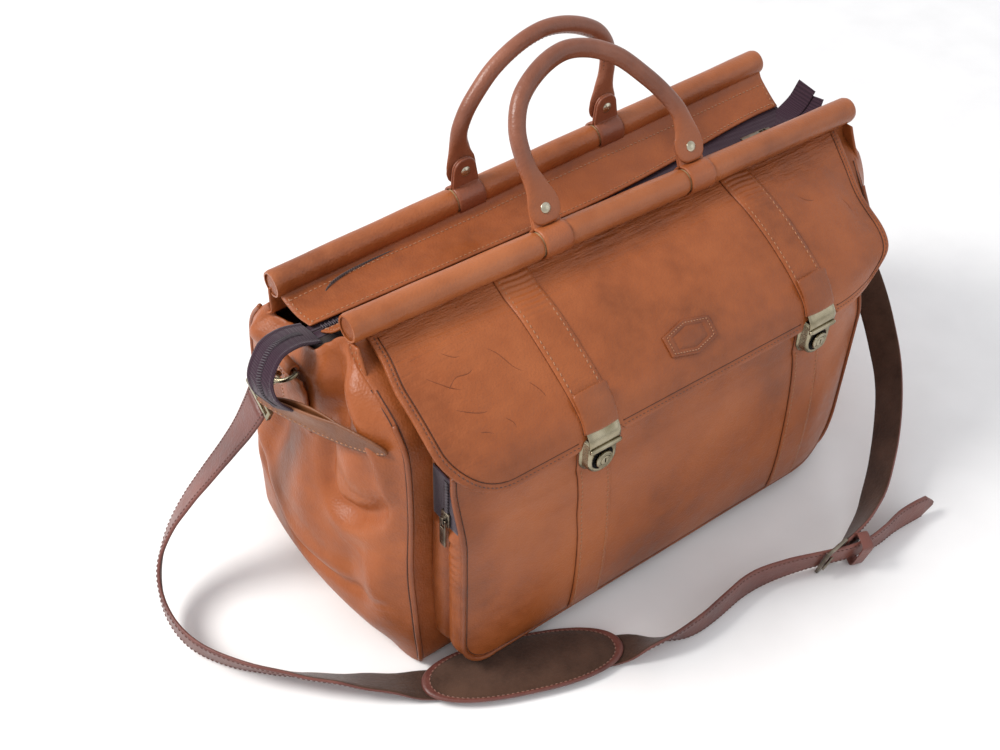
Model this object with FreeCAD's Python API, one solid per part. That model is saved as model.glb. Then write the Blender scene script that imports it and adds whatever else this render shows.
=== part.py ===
import FreeCAD, Part
import math
import os
from FreeCAD import Matrix, Rotation, Vector

# Leather travel bag with two wrapped bars, a front pocket under a locking flap, and a shoulder strap.
# Origin: middle of the base, on the floor. X runs along the bars, -Y is the front, Z is up. Millimetres.

# Driving dimensions: bars and body
BAR_LENGTH = 500.0
DOWEL_R = 9.5
WRAP_R = 11.0
CAP_T = 2.0
FRONT_BAR_Y, FRONT_BAR_Z = -42.0, 293.0
REAR_BAR_Y, REAR_BAR_Z = 66.0, 276.0
REAR_TILT = 3.2
LEATHER = 2.4
BODY_FRONT_Y, BODY_REAR_Y = -113.0, 108.0
HALF_BODY = 250.0
END_BULGE = 18.0
SHOULDER_FRONT_Z, SHOULDER_REAR_Z = 205.0, 190.0
FRONT_SLOPE = [(-106.0, 236.0), (-84.0, 256.0)]
GUSSET_TOP_Z = 232.0
FIN_T = 3.0
FIN_DEPTH = 24.0
WINDOW_DEPTH = 15.0
PIPING_R = 2.0

# Handles
HANDLE_HALF_SPAN = 72.5
HANDLE_RISE = 129.0
HANDLE_LEAN = 33.0
GRIP_R = 6.3
LOOP_WIDTH = 24.0
LOOP_IN_R, LOOP_OUT_R = 9.9, 12.3
TONGUE_TOP, TONGUE_T = 36.0, 4.4
PADDLE_R, PADDLE_T = 14.0, 3.6
RIVET_HEIGHT, RIVET_R, RIVET_CAP_R = 24.0, 1.6, 4.6

# Main zipper
ZIP_Y, ZIP_Z = 10.0, 254.0
ZIP_HALF_L = 240.0
CHAIN_W, CHAIN_T = 5.6, 1.4
TAPE_T = 0.8
SLIDER_X = 215.0
TAIL_W = 26.0
TAIL_ROUTE = [
    ((-250.5, 9, 254.6), (0, 1, 0)), ((-270, 6, 262), (0, 1, 0)), ((-292, 0, 264), (0.1, 1, 0)),
    ((-306, -6, 250), (0.25, 1, 0)), ((-305, -12, 229), (0.3, 1, 0))]
TAB_HALF_L, TAB_HALF_W, TAB_T = 58.0, 12.5, 4.4
TAB_AT, TAB_ALONG, TAB_ACROSS = (-287.0, -42.0, 214.0), (0.36, -0.93, 0.08), (-0.2, 0.0, 0.98)

# Front pocket
POCKET_FACE_Y = -150.0
POCKET_HALF_W = 230.0
POCKET_BOTTOM_Z, POCKET_TOP_Z = 13.0, 206.0
POCKET_CORNER_R, POCKET_TOP_R = 30.0, 10.0
POCKET_ZIP_LOW_Z = 165.0
POCKET_ZIP_Y, POCKET_ZIP_W = -132.0, 16.0
STRIP_X, STRIP_W, STRIP_T = 113.5, 30.0, 2.0

# Flap: hinge line, then the outer surface from the lower edge up to the bar
HINGE_Y, HINGE_Z = -56.0, 275.5
HINGE_ROLL_R = 2.0
FLAP_HALF_W = 240.0
FLAP_CORNER_R = 50.0
FLAP_LINE = [(-156.0, 211.0), (-149.0, 224.0), (-130.0, 238.5), (-104.0, 254.5), (-78.0, 268.0), (-56.0, 276.7)]
HASP_TOP_LINE = [(-156.0, 211.0), (-149.0, 224.0), (-136.5, 233.54)]
BADGE_HALF_L, BADGE_SIDE_HALF, BADGE_HALF_H, BADGE_T = 23.0, 8.2, 14.0, 1.6
BADGE_X, BADGE_SHARE = -13.0, 0.66

# Locks
CASE_W, CASE_DEPTH, CASE_TOP_Z = 28.0, 9.0, 207.0
BUTTON_Z, BUTTON_R, BUTTON_PROUD = 186.0, 7.5, 3.0
KEY_R = 4.2
PLATE_T = 1.4

# End rings and hooks
RING_Y, RING_Z = 8.0, 239.0
RING_R, RING_WIRE = 15.0, 1.8
RING_DROOP = 25.0
CHAPE_W, CHAPE_H, CHAPE_T = 22.0, 56.0, 3.0
HOOK_R, HOOK_WIRE = 9.0, 1.9

# Shoulder strap: width, thickness, and the routes of the two lengths (point, then width direction)
STRAP_W, STRAP_T = 28.0, 3.4
LONG_ROUTE = [
    ((-292.5, 23.4, 199.9), (-0.07, -0.84, -0.38)), ((-297, 33, 178), (-0.25, -0.88, -0.35)),
    ((-307, 43, 153), (-0.40, -0.87, -0.15)), ((-322, 53, 126), (-0.47, -0.87, -0.06)),
    ((-341, 62, 98), (-0.46, -0.86, 0.12)), ((-363, 65, 70), (-0.38, -0.80, 0.38)),
    ((-382, 56, 45), (-0.22, -0.62, 0.72)), ((-393, 31, 27), (-0.08, -0.38, 0.92)),
    ((-392, -2, 17.5), (-0.08, -0.33, 0.94)), ((-377, -34, 15), (-0.14, -0.38, 0.92)),
    ((-351, -66, 14.2), (-0.20, -0.48, 0.86)), ((-320, -94, 12.5), (-0.30, -0.65, 0.70)),
    ((-287, -121, 9.0), (-0.38, -0.80, 0.45)), ((-254, -144, 3.0), (-0.42, -0.88, 0.0)),
    ((-220, -160, 2.7), (-0.43, -0.90, 0.0)), ((-184, -175, 2.5), (-0.40, -0.92, 0.0)),
    ((-148, -189, 2.7), (-0.40, -0.92, 0.0)), ((-114, -203, 3.0), (-0.38, -0.90, 0.0)),
    ((-88, -221, 13.0), (-0.20, -0.55, 0.75)), ((-58, -229, 14.6), (0.0, -0.1, 1.0)),
    ((-26, -226, 14.8), (0.0, 0.0, 1.0)), ((9, -221, 15.0), (0.0, 0.0, 1.0)),
    ((42, -228, 16.5), (0.0, -0.15, 1.0)), ((72, -240, 19.4), (0.0, -0.30, 0.95)),
    ((104, -252.5, 19.4), (0.0, -0.30, 0.95)), ((136, -254, 17), (0.0, -0.1, 1.0)),
    ((170, -248, 14.8), (0.0, 0.0, 1.0)), ((207, -253, 14.8), (0.0, 0.0, 1.0))]
SHORT_ROUTE = [
    ((291.2, -3.8, 197.8), (-0.04, 0.90, -0.30)), ((292, -15, 178), (-0.45, 0.80, -0.40)),
    ((290, -36, 160), (-0.65, 0.62, -0.43)), ((284, -64, 140), (-0.72, 0.54, -0.43)),
    ((273, -97, 120), (-0.70, 0.52, -0.48)), ((259, -129, 96), (-0.50, 0.60, -0.60)),
    ((242, -159, 73), (-0.40, 0.52, -0.75)), ((208, -191, 52), (-0.36, 0.60, -0.68)),
    ((168, -219, 36), (-0.30, 0.60, -0.70)), ((132, -237, 24), (-0.18, 0.50, -0.82)),
    ((99, -243.5, 20), (0.0, 0.30, -0.95))]

# Shoulder pad and buckle
PAD_CENTRE, PAD_HEADING = (-187.0, -172.0), -22.0
PAD_LENGTH, PAD_WIDTH, PAD_LOW, PAD_T = 165.0, 56.0, 5.4, 5.8
BUCKLE_AT = (84.0, -244.6, 19.6)
BUCKLE_ALONG = (0.93, -0.365, 0.0)
BUCKLE_ACROSS = (0.0, -0.30, 0.95)
BUCKLE_L, BUCKLE_W, BUCKLE_WIRE, BUCKLE_TILT = 24.0, 36.0, 3.0, 26.0
KEEPER_AT = 26.0

X_AXIS, Y_AXIS, Z_AXIS = Vector(1, 0, 0), Vector(0, 1, 0), Vector(0, 0, 1)


def save(name, *solids):
    shape = solids[0] if len(solids) == 1 else Part.makeCompound(list(solids))
    shape.exportStep("parts/" + name + ".step")


def box(x0, x1, y0, y1, z0, z1):
    return Part.makeBox(x1 - x0, y1 - y0, z1 - z0, Vector(x0, y0, z0))


def rod(radius, start, end):
    run = Vector(*end) - Vector(*start)
    return Part.makeCylinder(radius, run.Length, Vector(*start), run)


def mirrored(shape):
    return shape.mirror(Vector(0, 0, 0), X_AXIS)


def rounded_path(points):
    """Straight runs joined by tangent arcs, each arc as large as its two runs allow."""
    corners = [Vector(*p) for p in points]
    edges, radii, here = [], [], corners[0]
    for before, corner, after in zip(corners, corners[1:], corners[2:]):
        back = (before - corner).normalize()
        ahead = (after - corner).normalize()
        turn = math.pi - back.getAngle(ahead)
        shorter = min((before - corner).Length, (after - corner).Length)
        reach = 0.45 * shorter
        radius = reach / math.tan(turn / 2)
        bisector = (back + ahead).normalize()
        middle = corner + bisector * (radius / math.cos(turn / 2) - radius)
        start, end = corner + back * reach, corner + ahead * reach
        edges.append(Part.LineSegment(here, start).toShape())
        edges.append(Part.Arc(start, middle, end).toShape())
        radii.append(radius)
        here = end
    edges.append(Part.LineSegment(here, corners[-1]).toShape())
    return edges, radii


def tube(points, radius):
    edges, _ = rounded_path(points)
    wire = Part.Wire(edges)
    start, heading = Vector(*points[0]), Vector(*points[1]) - Vector(*points[0])
    ring = Part.Wire([Part.Circle(start, heading, radius).toShape()])
    return wire.makePipeShell([ring], True, False)


def solid_between(sections):
    """Closed solid through a row of four-cornered sections, its sides split into triangles."""
    faces = []
    for here, there in zip(sections, sections[1:]):
        for i in range(4):
            j = (i + 1) % 4
            faces.append([here[i], here[j], there[j]])
            faces.append([here[i], there[j], there[i]])
    for end in (sections[0], sections[-1]):
        faces.append([end[0], end[1], end[2]])
        faces.append([end[0], end[2], end[3]])
    shell = Part.Shell([Part.Face(Part.makePolygon(f + [f[0]])) for f in faces])
    solid = Part.Solid(shell)
    if solid.Volume < 0:
        solid.reverse()
    return solid


def band(route, width, thickness):
    """Flat band along a route of points, each with the direction of its width."""
    edges, radii = rounded_path([point for point, _ in route])
    corners = [Vector(*point) for point, _ in route]
    acrosses = [Vector(*across).normalize() for _, across in route]
    sections, length = [], 0.0
    for number, edge in enumerate(edges):
        steps = 4 if number % 2 else 1
        first = 0 if number == 0 else 1
        for step in range(first, steps + 1):
            at = edge.FirstParameter + (edge.LastParameter - edge.FirstParameter) * step / steps
            here, along = edge.valueAt(at), edge.tangentAt(at)
            near = sorted(range(len(corners)), key=lambda i: (corners[i] - here).Length)[:2]
            gaps = [(corners[i] - here).Length + 0.01 for i in near]
            mixed = acrosses[near[0]] * gaps[1] + acrosses[near[1]] * gaps[0]
            across = (mixed - along * mixed.dot(along)).normalize() * (width / 2)
            face = along.cross(across).normalize() * (thickness / 2)
            sections.append([here + across + face, here - across + face, here - across - face,
                             here + across - face])
        length += edge.Length
    return solid_between(sections), length, radii


def offset_line(line, distance):
    """The line moved sideways by a distance in its own plane, corners mitred."""
    moved = []
    for i, (y, z) in enumerate(line):
        normals = []
        for a, b in ((i - 1, i), (i, i + 1)):
            if 0 <= a and b < len(line):
                run = Vector(0, line[b][0] - line[a][0], line[b][1] - line[a][1]).normalize()
                normals.append(Vector(0, -run.z, run.y))
        normal = sum(normals[1:], normals[0]).normalize()
        reach = distance / normal.dot(normals[0])
        moved.append((y + normal.y * reach, z + normal.z * reach))
    return moved


def sheet(line, low, high, x0, x1):
    """Sheet that follows a line in the YZ plane between two sideways offsets."""
    rim = offset_line(line, low) + offset_line(line, high)[::-1]
    corners = [Vector(x0, y, z) for y, z in rim]
    return Part.Face(Part.makePolygon(corners + [corners[0]])).extrude(Vector(x1 - x0, 0, 0))


def dome(radius, height, at, axis):
    """Low round cap standing on a point."""
    ball = (radius ** 2 + height ** 2) / (2 * height)
    cap = Part.makeSphere(ball, Vector(0, 0, height - ball)).common(
        Part.makeCylinder(2 * ball, height, Vector(0, 0, 0)))
    return placed(cap, at, Rotation(Z_AXIS, Vector(*axis)))


def placed(shape, at, rotation):
    copy = shape.copy()
    copy.Placement = FreeCAD.Placement(Vector(*at), rotation).multiply(copy.Placement)
    return copy


def framed(shape, at, along, across):
    """Shape drawn with X along, Y across, moved to a place with those directions."""
    u = Vector(*along).normalize()
    v = Vector(*across)
    v = (v - u * v.dot(u)).normalize()
    n = u.cross(v)
    turn = Rotation(Matrix(u.x, v.x, n.x, 0, u.y, v.y, n.y, 0, u.z, v.z, n.z, 0, 0, 0, 0, 1))
    return placed(shape, at, turn)


def rounded_block(half_w, low, high, low_radius, y0, y1, high_radius=0):
    """Block across Y with rounded lower corners, and upper ones too if they have a radius."""
    block = box(-half_w, half_w, y0, y1, low, high)
    for radius, lower in ((low_radius, True), (high_radius, False)):
        edges = []
        for edge in block.Edges:
            middle = edge.valueAt((edge.FirstParameter + edge.LastParameter) / 2)
            across = edge.Length > abs(y1 - y0) - 0.01 and abs(edge.tangentAt(edge.FirstParameter).y) > 0.9
            corner = abs(abs(middle.x) - half_w) < 0.01 and min(middle.z - low, high - middle.z) < 0.01
            if across and corner and (middle.z < (low + high) / 2) == lower:
                edges.append(edge)
        if radius > 0:
            block = block.makeFillet(radius, edges)
    return block


# Bars, their leather wraps and the slots that the handle loops turn in

def bar_pieces(place):
    half = BAR_LENGTH / 2
    dowel = rod(DOWEL_R, (-half + CAP_T, 0, 0), (half - CAP_T, 0, 0))
    tube_part = rod(WRAP_R, (-half, 0, 0), (half, 0, 0)).cut(rod(DOWEL_R, (-half, 0, 0), (half, 0, 0)))
    fin = box(-half, half, -FIN_T / 2, FIN_T / 2, -FIN_DEPTH, -WRAP_R + 0.3)
    wrap = tube_part.fuse(fin)
    for x in (-HANDLE_HALF_SPAN, HANDLE_HALF_SPAN):
        slot_half = LOOP_WIDTH / 2 + 1.5
        wrap = wrap.cut(box(x - slot_half, x + slot_half, -2 * WRAP_R, 2 * WRAP_R, -WINDOW_DEPTH, 2 * WRAP_R))
    caps = [rod(DOWEL_R - 0.2, (s * half, 0, 0), (s * (half - CAP_T), 0, 0)) for s in (-1, 1)]
    return [place(dowel)], [place(wrap)], [place(cap) for cap in caps]


# Handles: a rolled grip with flared ends, riveted to loops that turn round the dowel

def handle_pieces(place, side):
    face = side * (TONGUE_T / 2 + 0.05)
    grip_y = side * (TONGUE_T / 2 + 0.05 + GRIP_R / 2)
    arch = []
    for x, z in ((1.0, 34), (1.08, 62), (1.0, 94), (0.68, 119), (0.24, HANDLE_RISE)):
        arch.append((x * HANDLE_HALF_SPAN, grip_y, z))
    points = [(-x, y, z) for x, y, z in arch] + arch[::-1]
    grip = tube(points, GRIP_R)
    loops, rivets = [], []
    for x in (-HANDLE_HALF_SPAN, HANDLE_HALF_SPAN):
        y0, y1 = sorted((face, face + side * PADDLE_T))
        paddle = rod(PADDLE_R, (x, y0, RIVET_HEIGHT), (x, y1, RIVET_HEIGHT))
        shoulder = box(x - PADDLE_R * 0.6, x + PADDLE_R * 0.6, y0, y1, RIVET_HEIGHT, RIVET_HEIGHT + 20)
        grip = grip.fuse([paddle, shoulder])
        ring = rod(LOOP_OUT_R, (x - LOOP_WIDTH / 2, 0, 0), (x + LOOP_WIDTH / 2, 0, 0))
        tongue = box(x - LOOP_WIDTH / 2, x + LOOP_WIDTH / 2, -TONGUE_T / 2, TONGUE_T / 2, 0, TONGUE_TOP)
        loop = ring.fuse(tongue).cut(rod(LOOP_IN_R, (x - LOOP_WIDTH, 0, 0), (x + LOOP_WIDTH, 0, 0)))
        hole = rod(RIVET_R, (x, -20, RIVET_HEIGHT), (x, 20, RIVET_HEIGHT))
        grip = grip.cut(hole)
        loops.append(place(loop.cut(hole)))
        outer, inner = face + side * PADDLE_T, -side * TONGUE_T / 2
        shank = rod(RIVET_R, (x, inner, RIVET_HEIGHT), (x, outer, RIVET_HEIGHT))
        cap_out = dome(RIVET_CAP_R, 2.0, (x, outer, RIVET_HEIGHT), (0, side, 0))
        cap_in = dome(RIVET_CAP_R, 2.0, (x, inner, RIVET_HEIGHT), (0, -side, 0))
        rivets.append(place(shank.fuse([cap_out, cap_in])))
        grip = grip.cut(rod(LOOP_OUT_R + 0.3, (x - PADDLE_R, 0, 0), (x + PADDLE_R, 0, 0)))
        room_y = TONGUE_T / 2 + 0.04
        grip = grip.cut(box(x - LOOP_WIDTH, x + LOOP_WIDTH, -room_y, room_y, 0, TONGUE_TOP + 0.3))
    return [place(grip)], loops, rivets


def front_bar_place(shape):
    return placed(shape, (0, FRONT_BAR_Y, FRONT_BAR_Z), Rotation())


def front_handle_place(shape):
    return placed(shape, (0, FRONT_BAR_Y, FRONT_BAR_Z), Rotation(X_AXIS, -HANDLE_LEAN))


def rear_place(shape):
    return placed(shape, (0, REAR_BAR_Y, REAR_BAR_Z), Rotation(Y_AXIS, -REAR_TILT))


def bars_and_handles():
    all_caps = []
    for name, bar_place, handle_place, side in (("front", front_bar_place, front_handle_place, -1),
                                                ("rear", rear_place, rear_place, 1)):
        dowel, wrap, caps = bar_pieces(bar_place)
        save(name + "_dowel", *dowel)
        save(name + "_bar_wrap", *wrap)
        all_caps.extend(caps)
        grip, loops, rivets = handle_pieces(handle_place, side)
        save(name + "_handle_grip", *grip)
        save(name + "_handle_loops", *loops)
        save(name + "_handle_rivets", *rivets)
    save("bar_caps", *all_caps)


# Body: panels, bulged ends, base and lining

def end_arc(half, bulge):
    middle = (BODY_FRONT_Y + BODY_REAR_Y) / 2
    return (Vector(half, BODY_FRONT_Y, 0), Vector(half + bulge, middle, 0), Vector(half, BODY_REAR_Y, 0))


def plan_block(inset, z0, z1):
    """Block with the plan of the body: straight front and rear, bulged ends."""
    right = end_arc(HALF_BODY - inset, END_BULGE)
    left = [Vector(-p.x, p.y, 0) for p in right]
    wire = Part.Wire([Part.Arc(*right).toShape(), Part.LineSegment(right[2], left[2]).toShape(),
                      Part.Arc(left[2], left[1], left[0]).toShape(),
                      Part.LineSegment(left[0], right[0]).toShape()])
    block = Part.Face(wire).extrude(Vector(0, 0, z1 - z0))
    block.translate(Vector(0, 0, z0))
    return block


def inside_panels(inset, z0):
    """Space between the front and rear panels, as a block along X."""
    front, rear = BODY_FRONT_Y + LEATHER + inset, BODY_REAR_Y - LEATHER - inset
    slope = [(y + LEATHER + 1, z - LEATHER) for y, z in FRONT_SLOPE]
    outline = [(front, z0), (front, SHOULDER_FRONT_Z - 1)] + slope
    outline += [(FRONT_BAR_Y - 2, 266), (REAR_BAR_Y - 1, 240), (rear, SHOULDER_REAR_Z - 1), (rear, z0)]
    corners = [Vector(-HALF_BODY - 40, y, z) for y, z in outline]
    return Part.Face(Part.makePolygon(corners + [corners[0]])).extrude(Vector(2 * HALF_BODY + 80, 0, 0))


def body():
    fin_front, fin_rear = FRONT_BAR_Y - FIN_T / 2, REAR_BAR_Y + FIN_T / 2
    front_top = (fin_front - 3, FRONT_BAR_Z - FIN_DEPTH + 4)
    front_line = [(BODY_FRONT_Y, 0), (BODY_FRONT_Y, SHOULDER_FRONT_Z)] + FRONT_SLOPE + [front_top]
    rear_line = [(BODY_REAR_Y, 0), (BODY_REAR_Y, SHOULDER_REAR_Z), (fin_rear + LEATHER, 240),
                 (fin_rear + LEATHER, REAR_BAR_Z + 14)]
    save("front_panel", sheet(front_line, -LEATHER, 0, -HALF_BODY, HALF_BODY))
    above_fin = rear_place(box(-300, 300, -40, 60, -WRAP_R - 2, 80))
    save("rear_panel", sheet(rear_line, 0, LEATHER, -HALF_BODY, HALF_BODY).cut(above_fin))
    ends = plan_block(0, LEATHER, GUSSET_TOP_Z).cut(plan_block(LEATHER, 0, GUSSET_TOP_Z + 1))
    ends = ends.common(inside_panels(0, 0))
    for name, x in (("left_gusset", -300), ("right_gusset", 100)):
        save(name, ends.common(box(x, x + 200, -200, 200, 0, 300)))
    save("base_panel", plan_block(0, 0, LEATHER).common(inside_panels(0, 0)))
    save("base_board", plan_block(8, LEATHER, LEATHER + 3).common(inside_panels(2, 0)))
    outer = box(-HALF_BODY + 6, HALF_BODY - 6, BODY_FRONT_Y + 4, BODY_REAR_Y - 4, 6, 186)
    inner = box(-HALF_BODY + 7, HALF_BODY - 7, BODY_FRONT_Y + 5, BODY_REAR_Y - 5, 7, 190)
    save("lining", outer.cut(inner))
    rims = []
    for y in (BODY_FRONT_Y - PIPING_R - 0.1, BODY_REAR_Y + PIPING_R + 0.1):
        side, low, high = HALF_BODY - PIPING_R - 0.5, PIPING_R + 0.8, 186
        points = [(-side, y, high), (-side, y, 60), (-side + 16, y, low + 6), (-side + 70, y, low), (0, y, low + 0.5)]
        rims.append(tube(points + [(-p[0], p[1], p[2]) for p in points[-2::-1]], PIPING_R))
    save("body_piping", *rims)
    stays = [box(-4, 4, -1, 1, -30, 0), box(-4, 4, -1, 1, -30, 0)]
    for stay, side in zip(stays, (-1, 1)):
        stay.rotate(Vector(0, 0, 0), X_AXIS, 18)
        stay.translate(Vector(side * (HALF_BODY - 3), FRONT_BAR_Y - 7.0, FRONT_BAR_Z - WRAP_R - 1.5))
    corner = sheet(front_line, -LEATHER - 0.1, 6, -HALF_BODY, HALF_BODY)
    save("bar_stays", *[stay.cut(corner) for stay in stays])


# Mouth: valances, zipper and its end tab

def mouth():
    half = BAR_LENGTH / 2 - 4
    for name, bar_y, bar_z, side, tilt in (("front_valance", FRONT_BAR_Y, FRONT_BAR_Z, 1, 0.0),
                                           ("rear_valance", REAR_BAR_Y, REAR_BAR_Z, -1, REAR_TILT)):
        sections = []
        for x in (-half, half):
            top_z = bar_z + x * math.tan(math.radians(tilt)) - WRAP_R - 4.5
            top_y, low_y, low_z = bar_y + side * (FIN_T / 2 + 0.2), ZIP_Y - side * 6.5, ZIP_Z + TAPE_T / 2 + 0.6
            sections.append([Vector(x, top_y, top_z), Vector(x, low_y, low_z),
                             Vector(x, low_y, low_z + LEATHER * 0.7), Vector(x, top_y, top_z + LEATHER * 0.7)])
        save(name, solid_between(sections))
    save("zipper_tape", box(-ZIP_HALF_L - 9, ZIP_HALF_L + 9, ZIP_Y - 9, ZIP_Y + 9,
                            ZIP_Z - TAPE_T / 2, ZIP_Z + TAPE_T / 2))
    chain_low = ZIP_Z + TAPE_T / 2
    save("zipper_chain", box(-ZIP_HALF_L, ZIP_HALF_L, ZIP_Y - CHAIN_W / 2, ZIP_Y + CHAIN_W / 2,
                             chain_low, chain_low + CHAIN_T))
    low = chain_low + CHAIN_T + 0.3
    wing = rounded_plate(7, 4.6, low, low + 1.4)
    lips = [box(-6, 6, s * 3.9 - 0.4, s * 3.9 + 0.4, chain_low + 0.2, low + 0.2) for s in (-1, 1)]
    bridge = box(-2.5, 2.5, -1.6, 1.6, low + 1, low + 4.6)
    eye = rod(1.1, (0, -4, low + 3), (0, 4, low + 3))
    slider = wing.fuse(lips + [bridge]).cut(eye)
    slider.translate(Vector(SLIDER_X, ZIP_Y, 0))
    save("zipper_slider", slider)
    pull = box(-30, -3.8, -3.4, 3.4, -0.7, 0.7).cut(box(-9, -4.8, -2.2, 2.2, -2, 2))
    pin = rod(0.8, (0, -3.4, 0), (0, 3.4, 0))
    arms = [box(-9, 0, s * 2.8 - 0.6, s * 2.8 + 0.6, -0.7, 0.7) for s in (-1, 1)]
    pull = pull.fuse(arms + [pin])
    pull.translate(Vector(SLIDER_X, ZIP_Y, low + 3))
    save("zipper_pull", pull)
    save("zipper_tail", band(TAIL_ROUTE, TAIL_W, 1.2)[0])
    curve = (TAB_HALF_L ** 2 + TAB_HALF_W ** 2) / (2 * TAB_HALF_W)
    sides = [rod(curve, (0, s * (curve - TAB_HALF_W), -TAB_T / 2), (0, s * (curve - TAB_HALF_W), TAB_T / 2))
             for s in (-1, 1)]
    save("zipper_end_tab", framed(sides[0].common(sides[1]), TAB_AT, TAB_ALONG, TAB_ACROSS))


def rounded_plate(half_l, half_w, z0, z1):
    body_part = box(-half_l + half_w, half_l - half_w, -half_w, half_w, z0, z1)
    return body_part.fuse([rod(half_w, (s * (half_l - half_w), 0, z0), (s * (half_l - half_w), 0, z1))
                           for s in (-1, 1)])


# Front pocket with its zipper, piping and the two stitched strips

def pocket():
    face_in = POCKET_FACE_Y + LEATHER
    front = rounded_block(POCKET_HALF_W, POCKET_BOTTOM_Z, POCKET_TOP_Z, POCKET_CORNER_R, POCKET_FACE_Y, face_in)
    save("pocket_front", front)

    def ring(inset_out, inset_in, y0, y1):
        blocks = [rounded_block(POCKET_HALF_W - inset, POCKET_BOTTOM_Z + inset, POCKET_TOP_Z - inset,
                                POCKET_CORNER_R - inset / 2, y0, y1, POCKET_TOP_R - inset / 2)
                  for inset in (inset_out, inset_in)]
        return blocks[0].cut(blocks[1])

    gusset = ring(0, LEATHER, face_in, BODY_FRONT_Y)
    save("pocket_gusset", gusset)
    y0, y1 = POCKET_ZIP_Y - POCKET_ZIP_W / 2, POCKET_ZIP_Y + POCKET_ZIP_W / 2
    outer = rounded_block(POCKET_HALF_W + 1.1, POCKET_BOTTOM_Z - 1.1, POCKET_TOP_Z + 1.1, POCKET_CORNER_R, y0, y1,
                          POCKET_TOP_R)
    inner = rounded_block(POCKET_HALF_W + 0.05, POCKET_BOTTOM_Z - 0.05, POCKET_TOP_Z + 0.05, POCKET_CORNER_R,
                          y0, y1, POCKET_TOP_R)
    tape = outer.cut(inner).common(box(-300, 300, -200, 0, POCKET_ZIP_LOW_Z, 300))
    save("pocket_zip_tape", max(tape.Solids, key=lambda s: s.Volume))
    x = -POCKET_HALF_W - 1.1
    slider = box(x - 2.4, x - 0.3, POCKET_ZIP_Y - 4.2, POCKET_ZIP_Y + 4.2, 166, 179)
    bail = box(x - 5.2, x - 2.4, POCKET_ZIP_Y - 1.6, POCKET_ZIP_Y + 1.6, 169.5, 175.5)
    slider = slider.fuse(bail).cut(rod(1.1, (x - 3.9, POCKET_ZIP_Y - 6, 172.5), (x - 3.9, POCKET_ZIP_Y + 6, 172.5)))
    save("pocket_zip_slider", slider)
    pull = box(-0.7, 0.7, -3.4, 3.4, -26, -3.6).cut(box(-2, 2, -2.2, 2.2, -8, -4.6))
    arms = [box(-0.7, 0.7, s * 2.8 - 0.6, s * 2.8 + 0.6, -8, 0) for s in (-1, 1)]
    pull = pull.fuse(arms + [rod(0.8, (0, -3.4, 0), (0, 3.4, 0))])
    pull.translate(Vector(x - 3.9, POCKET_ZIP_Y, 172.5))
    save("pocket_zip_pull", pull)
    side, y, low = POCKET_HALF_W - 2, POCKET_FACE_Y - PIPING_R + 0.1, POCKET_BOTTOM_Z + 2
    points = [(-side, y, POCKET_TOP_Z - 4), (-side, y, low + 70), (-side + 4, y, low + 20), (-side + 24, y, low + 3),
              (-side + 80, y, low), (0, y, low + 0.4)]
    y -= 0.2
    points = [(px, y, pz) for px, _, pz in points]
    save("pocket_piping", tube(points + [(-p[0], p[1], p[2]) for p in points[-2::-1]], PIPING_R - 0.1))
    strips = []
    for s in (-1, 1):
        strip = box(s * STRIP_X - STRIP_W / 2, s * STRIP_X + STRIP_W / 2, POCKET_FACE_Y - STRIP_T,
                    POCKET_FACE_Y - 0.05, POCKET_BOTTOM_Z + 8, CASE_TOP_Z - 2)
        strips.append(strip)
    save("pocket_strips", *strips)


# Flap, its strips, badge and hasps

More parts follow.
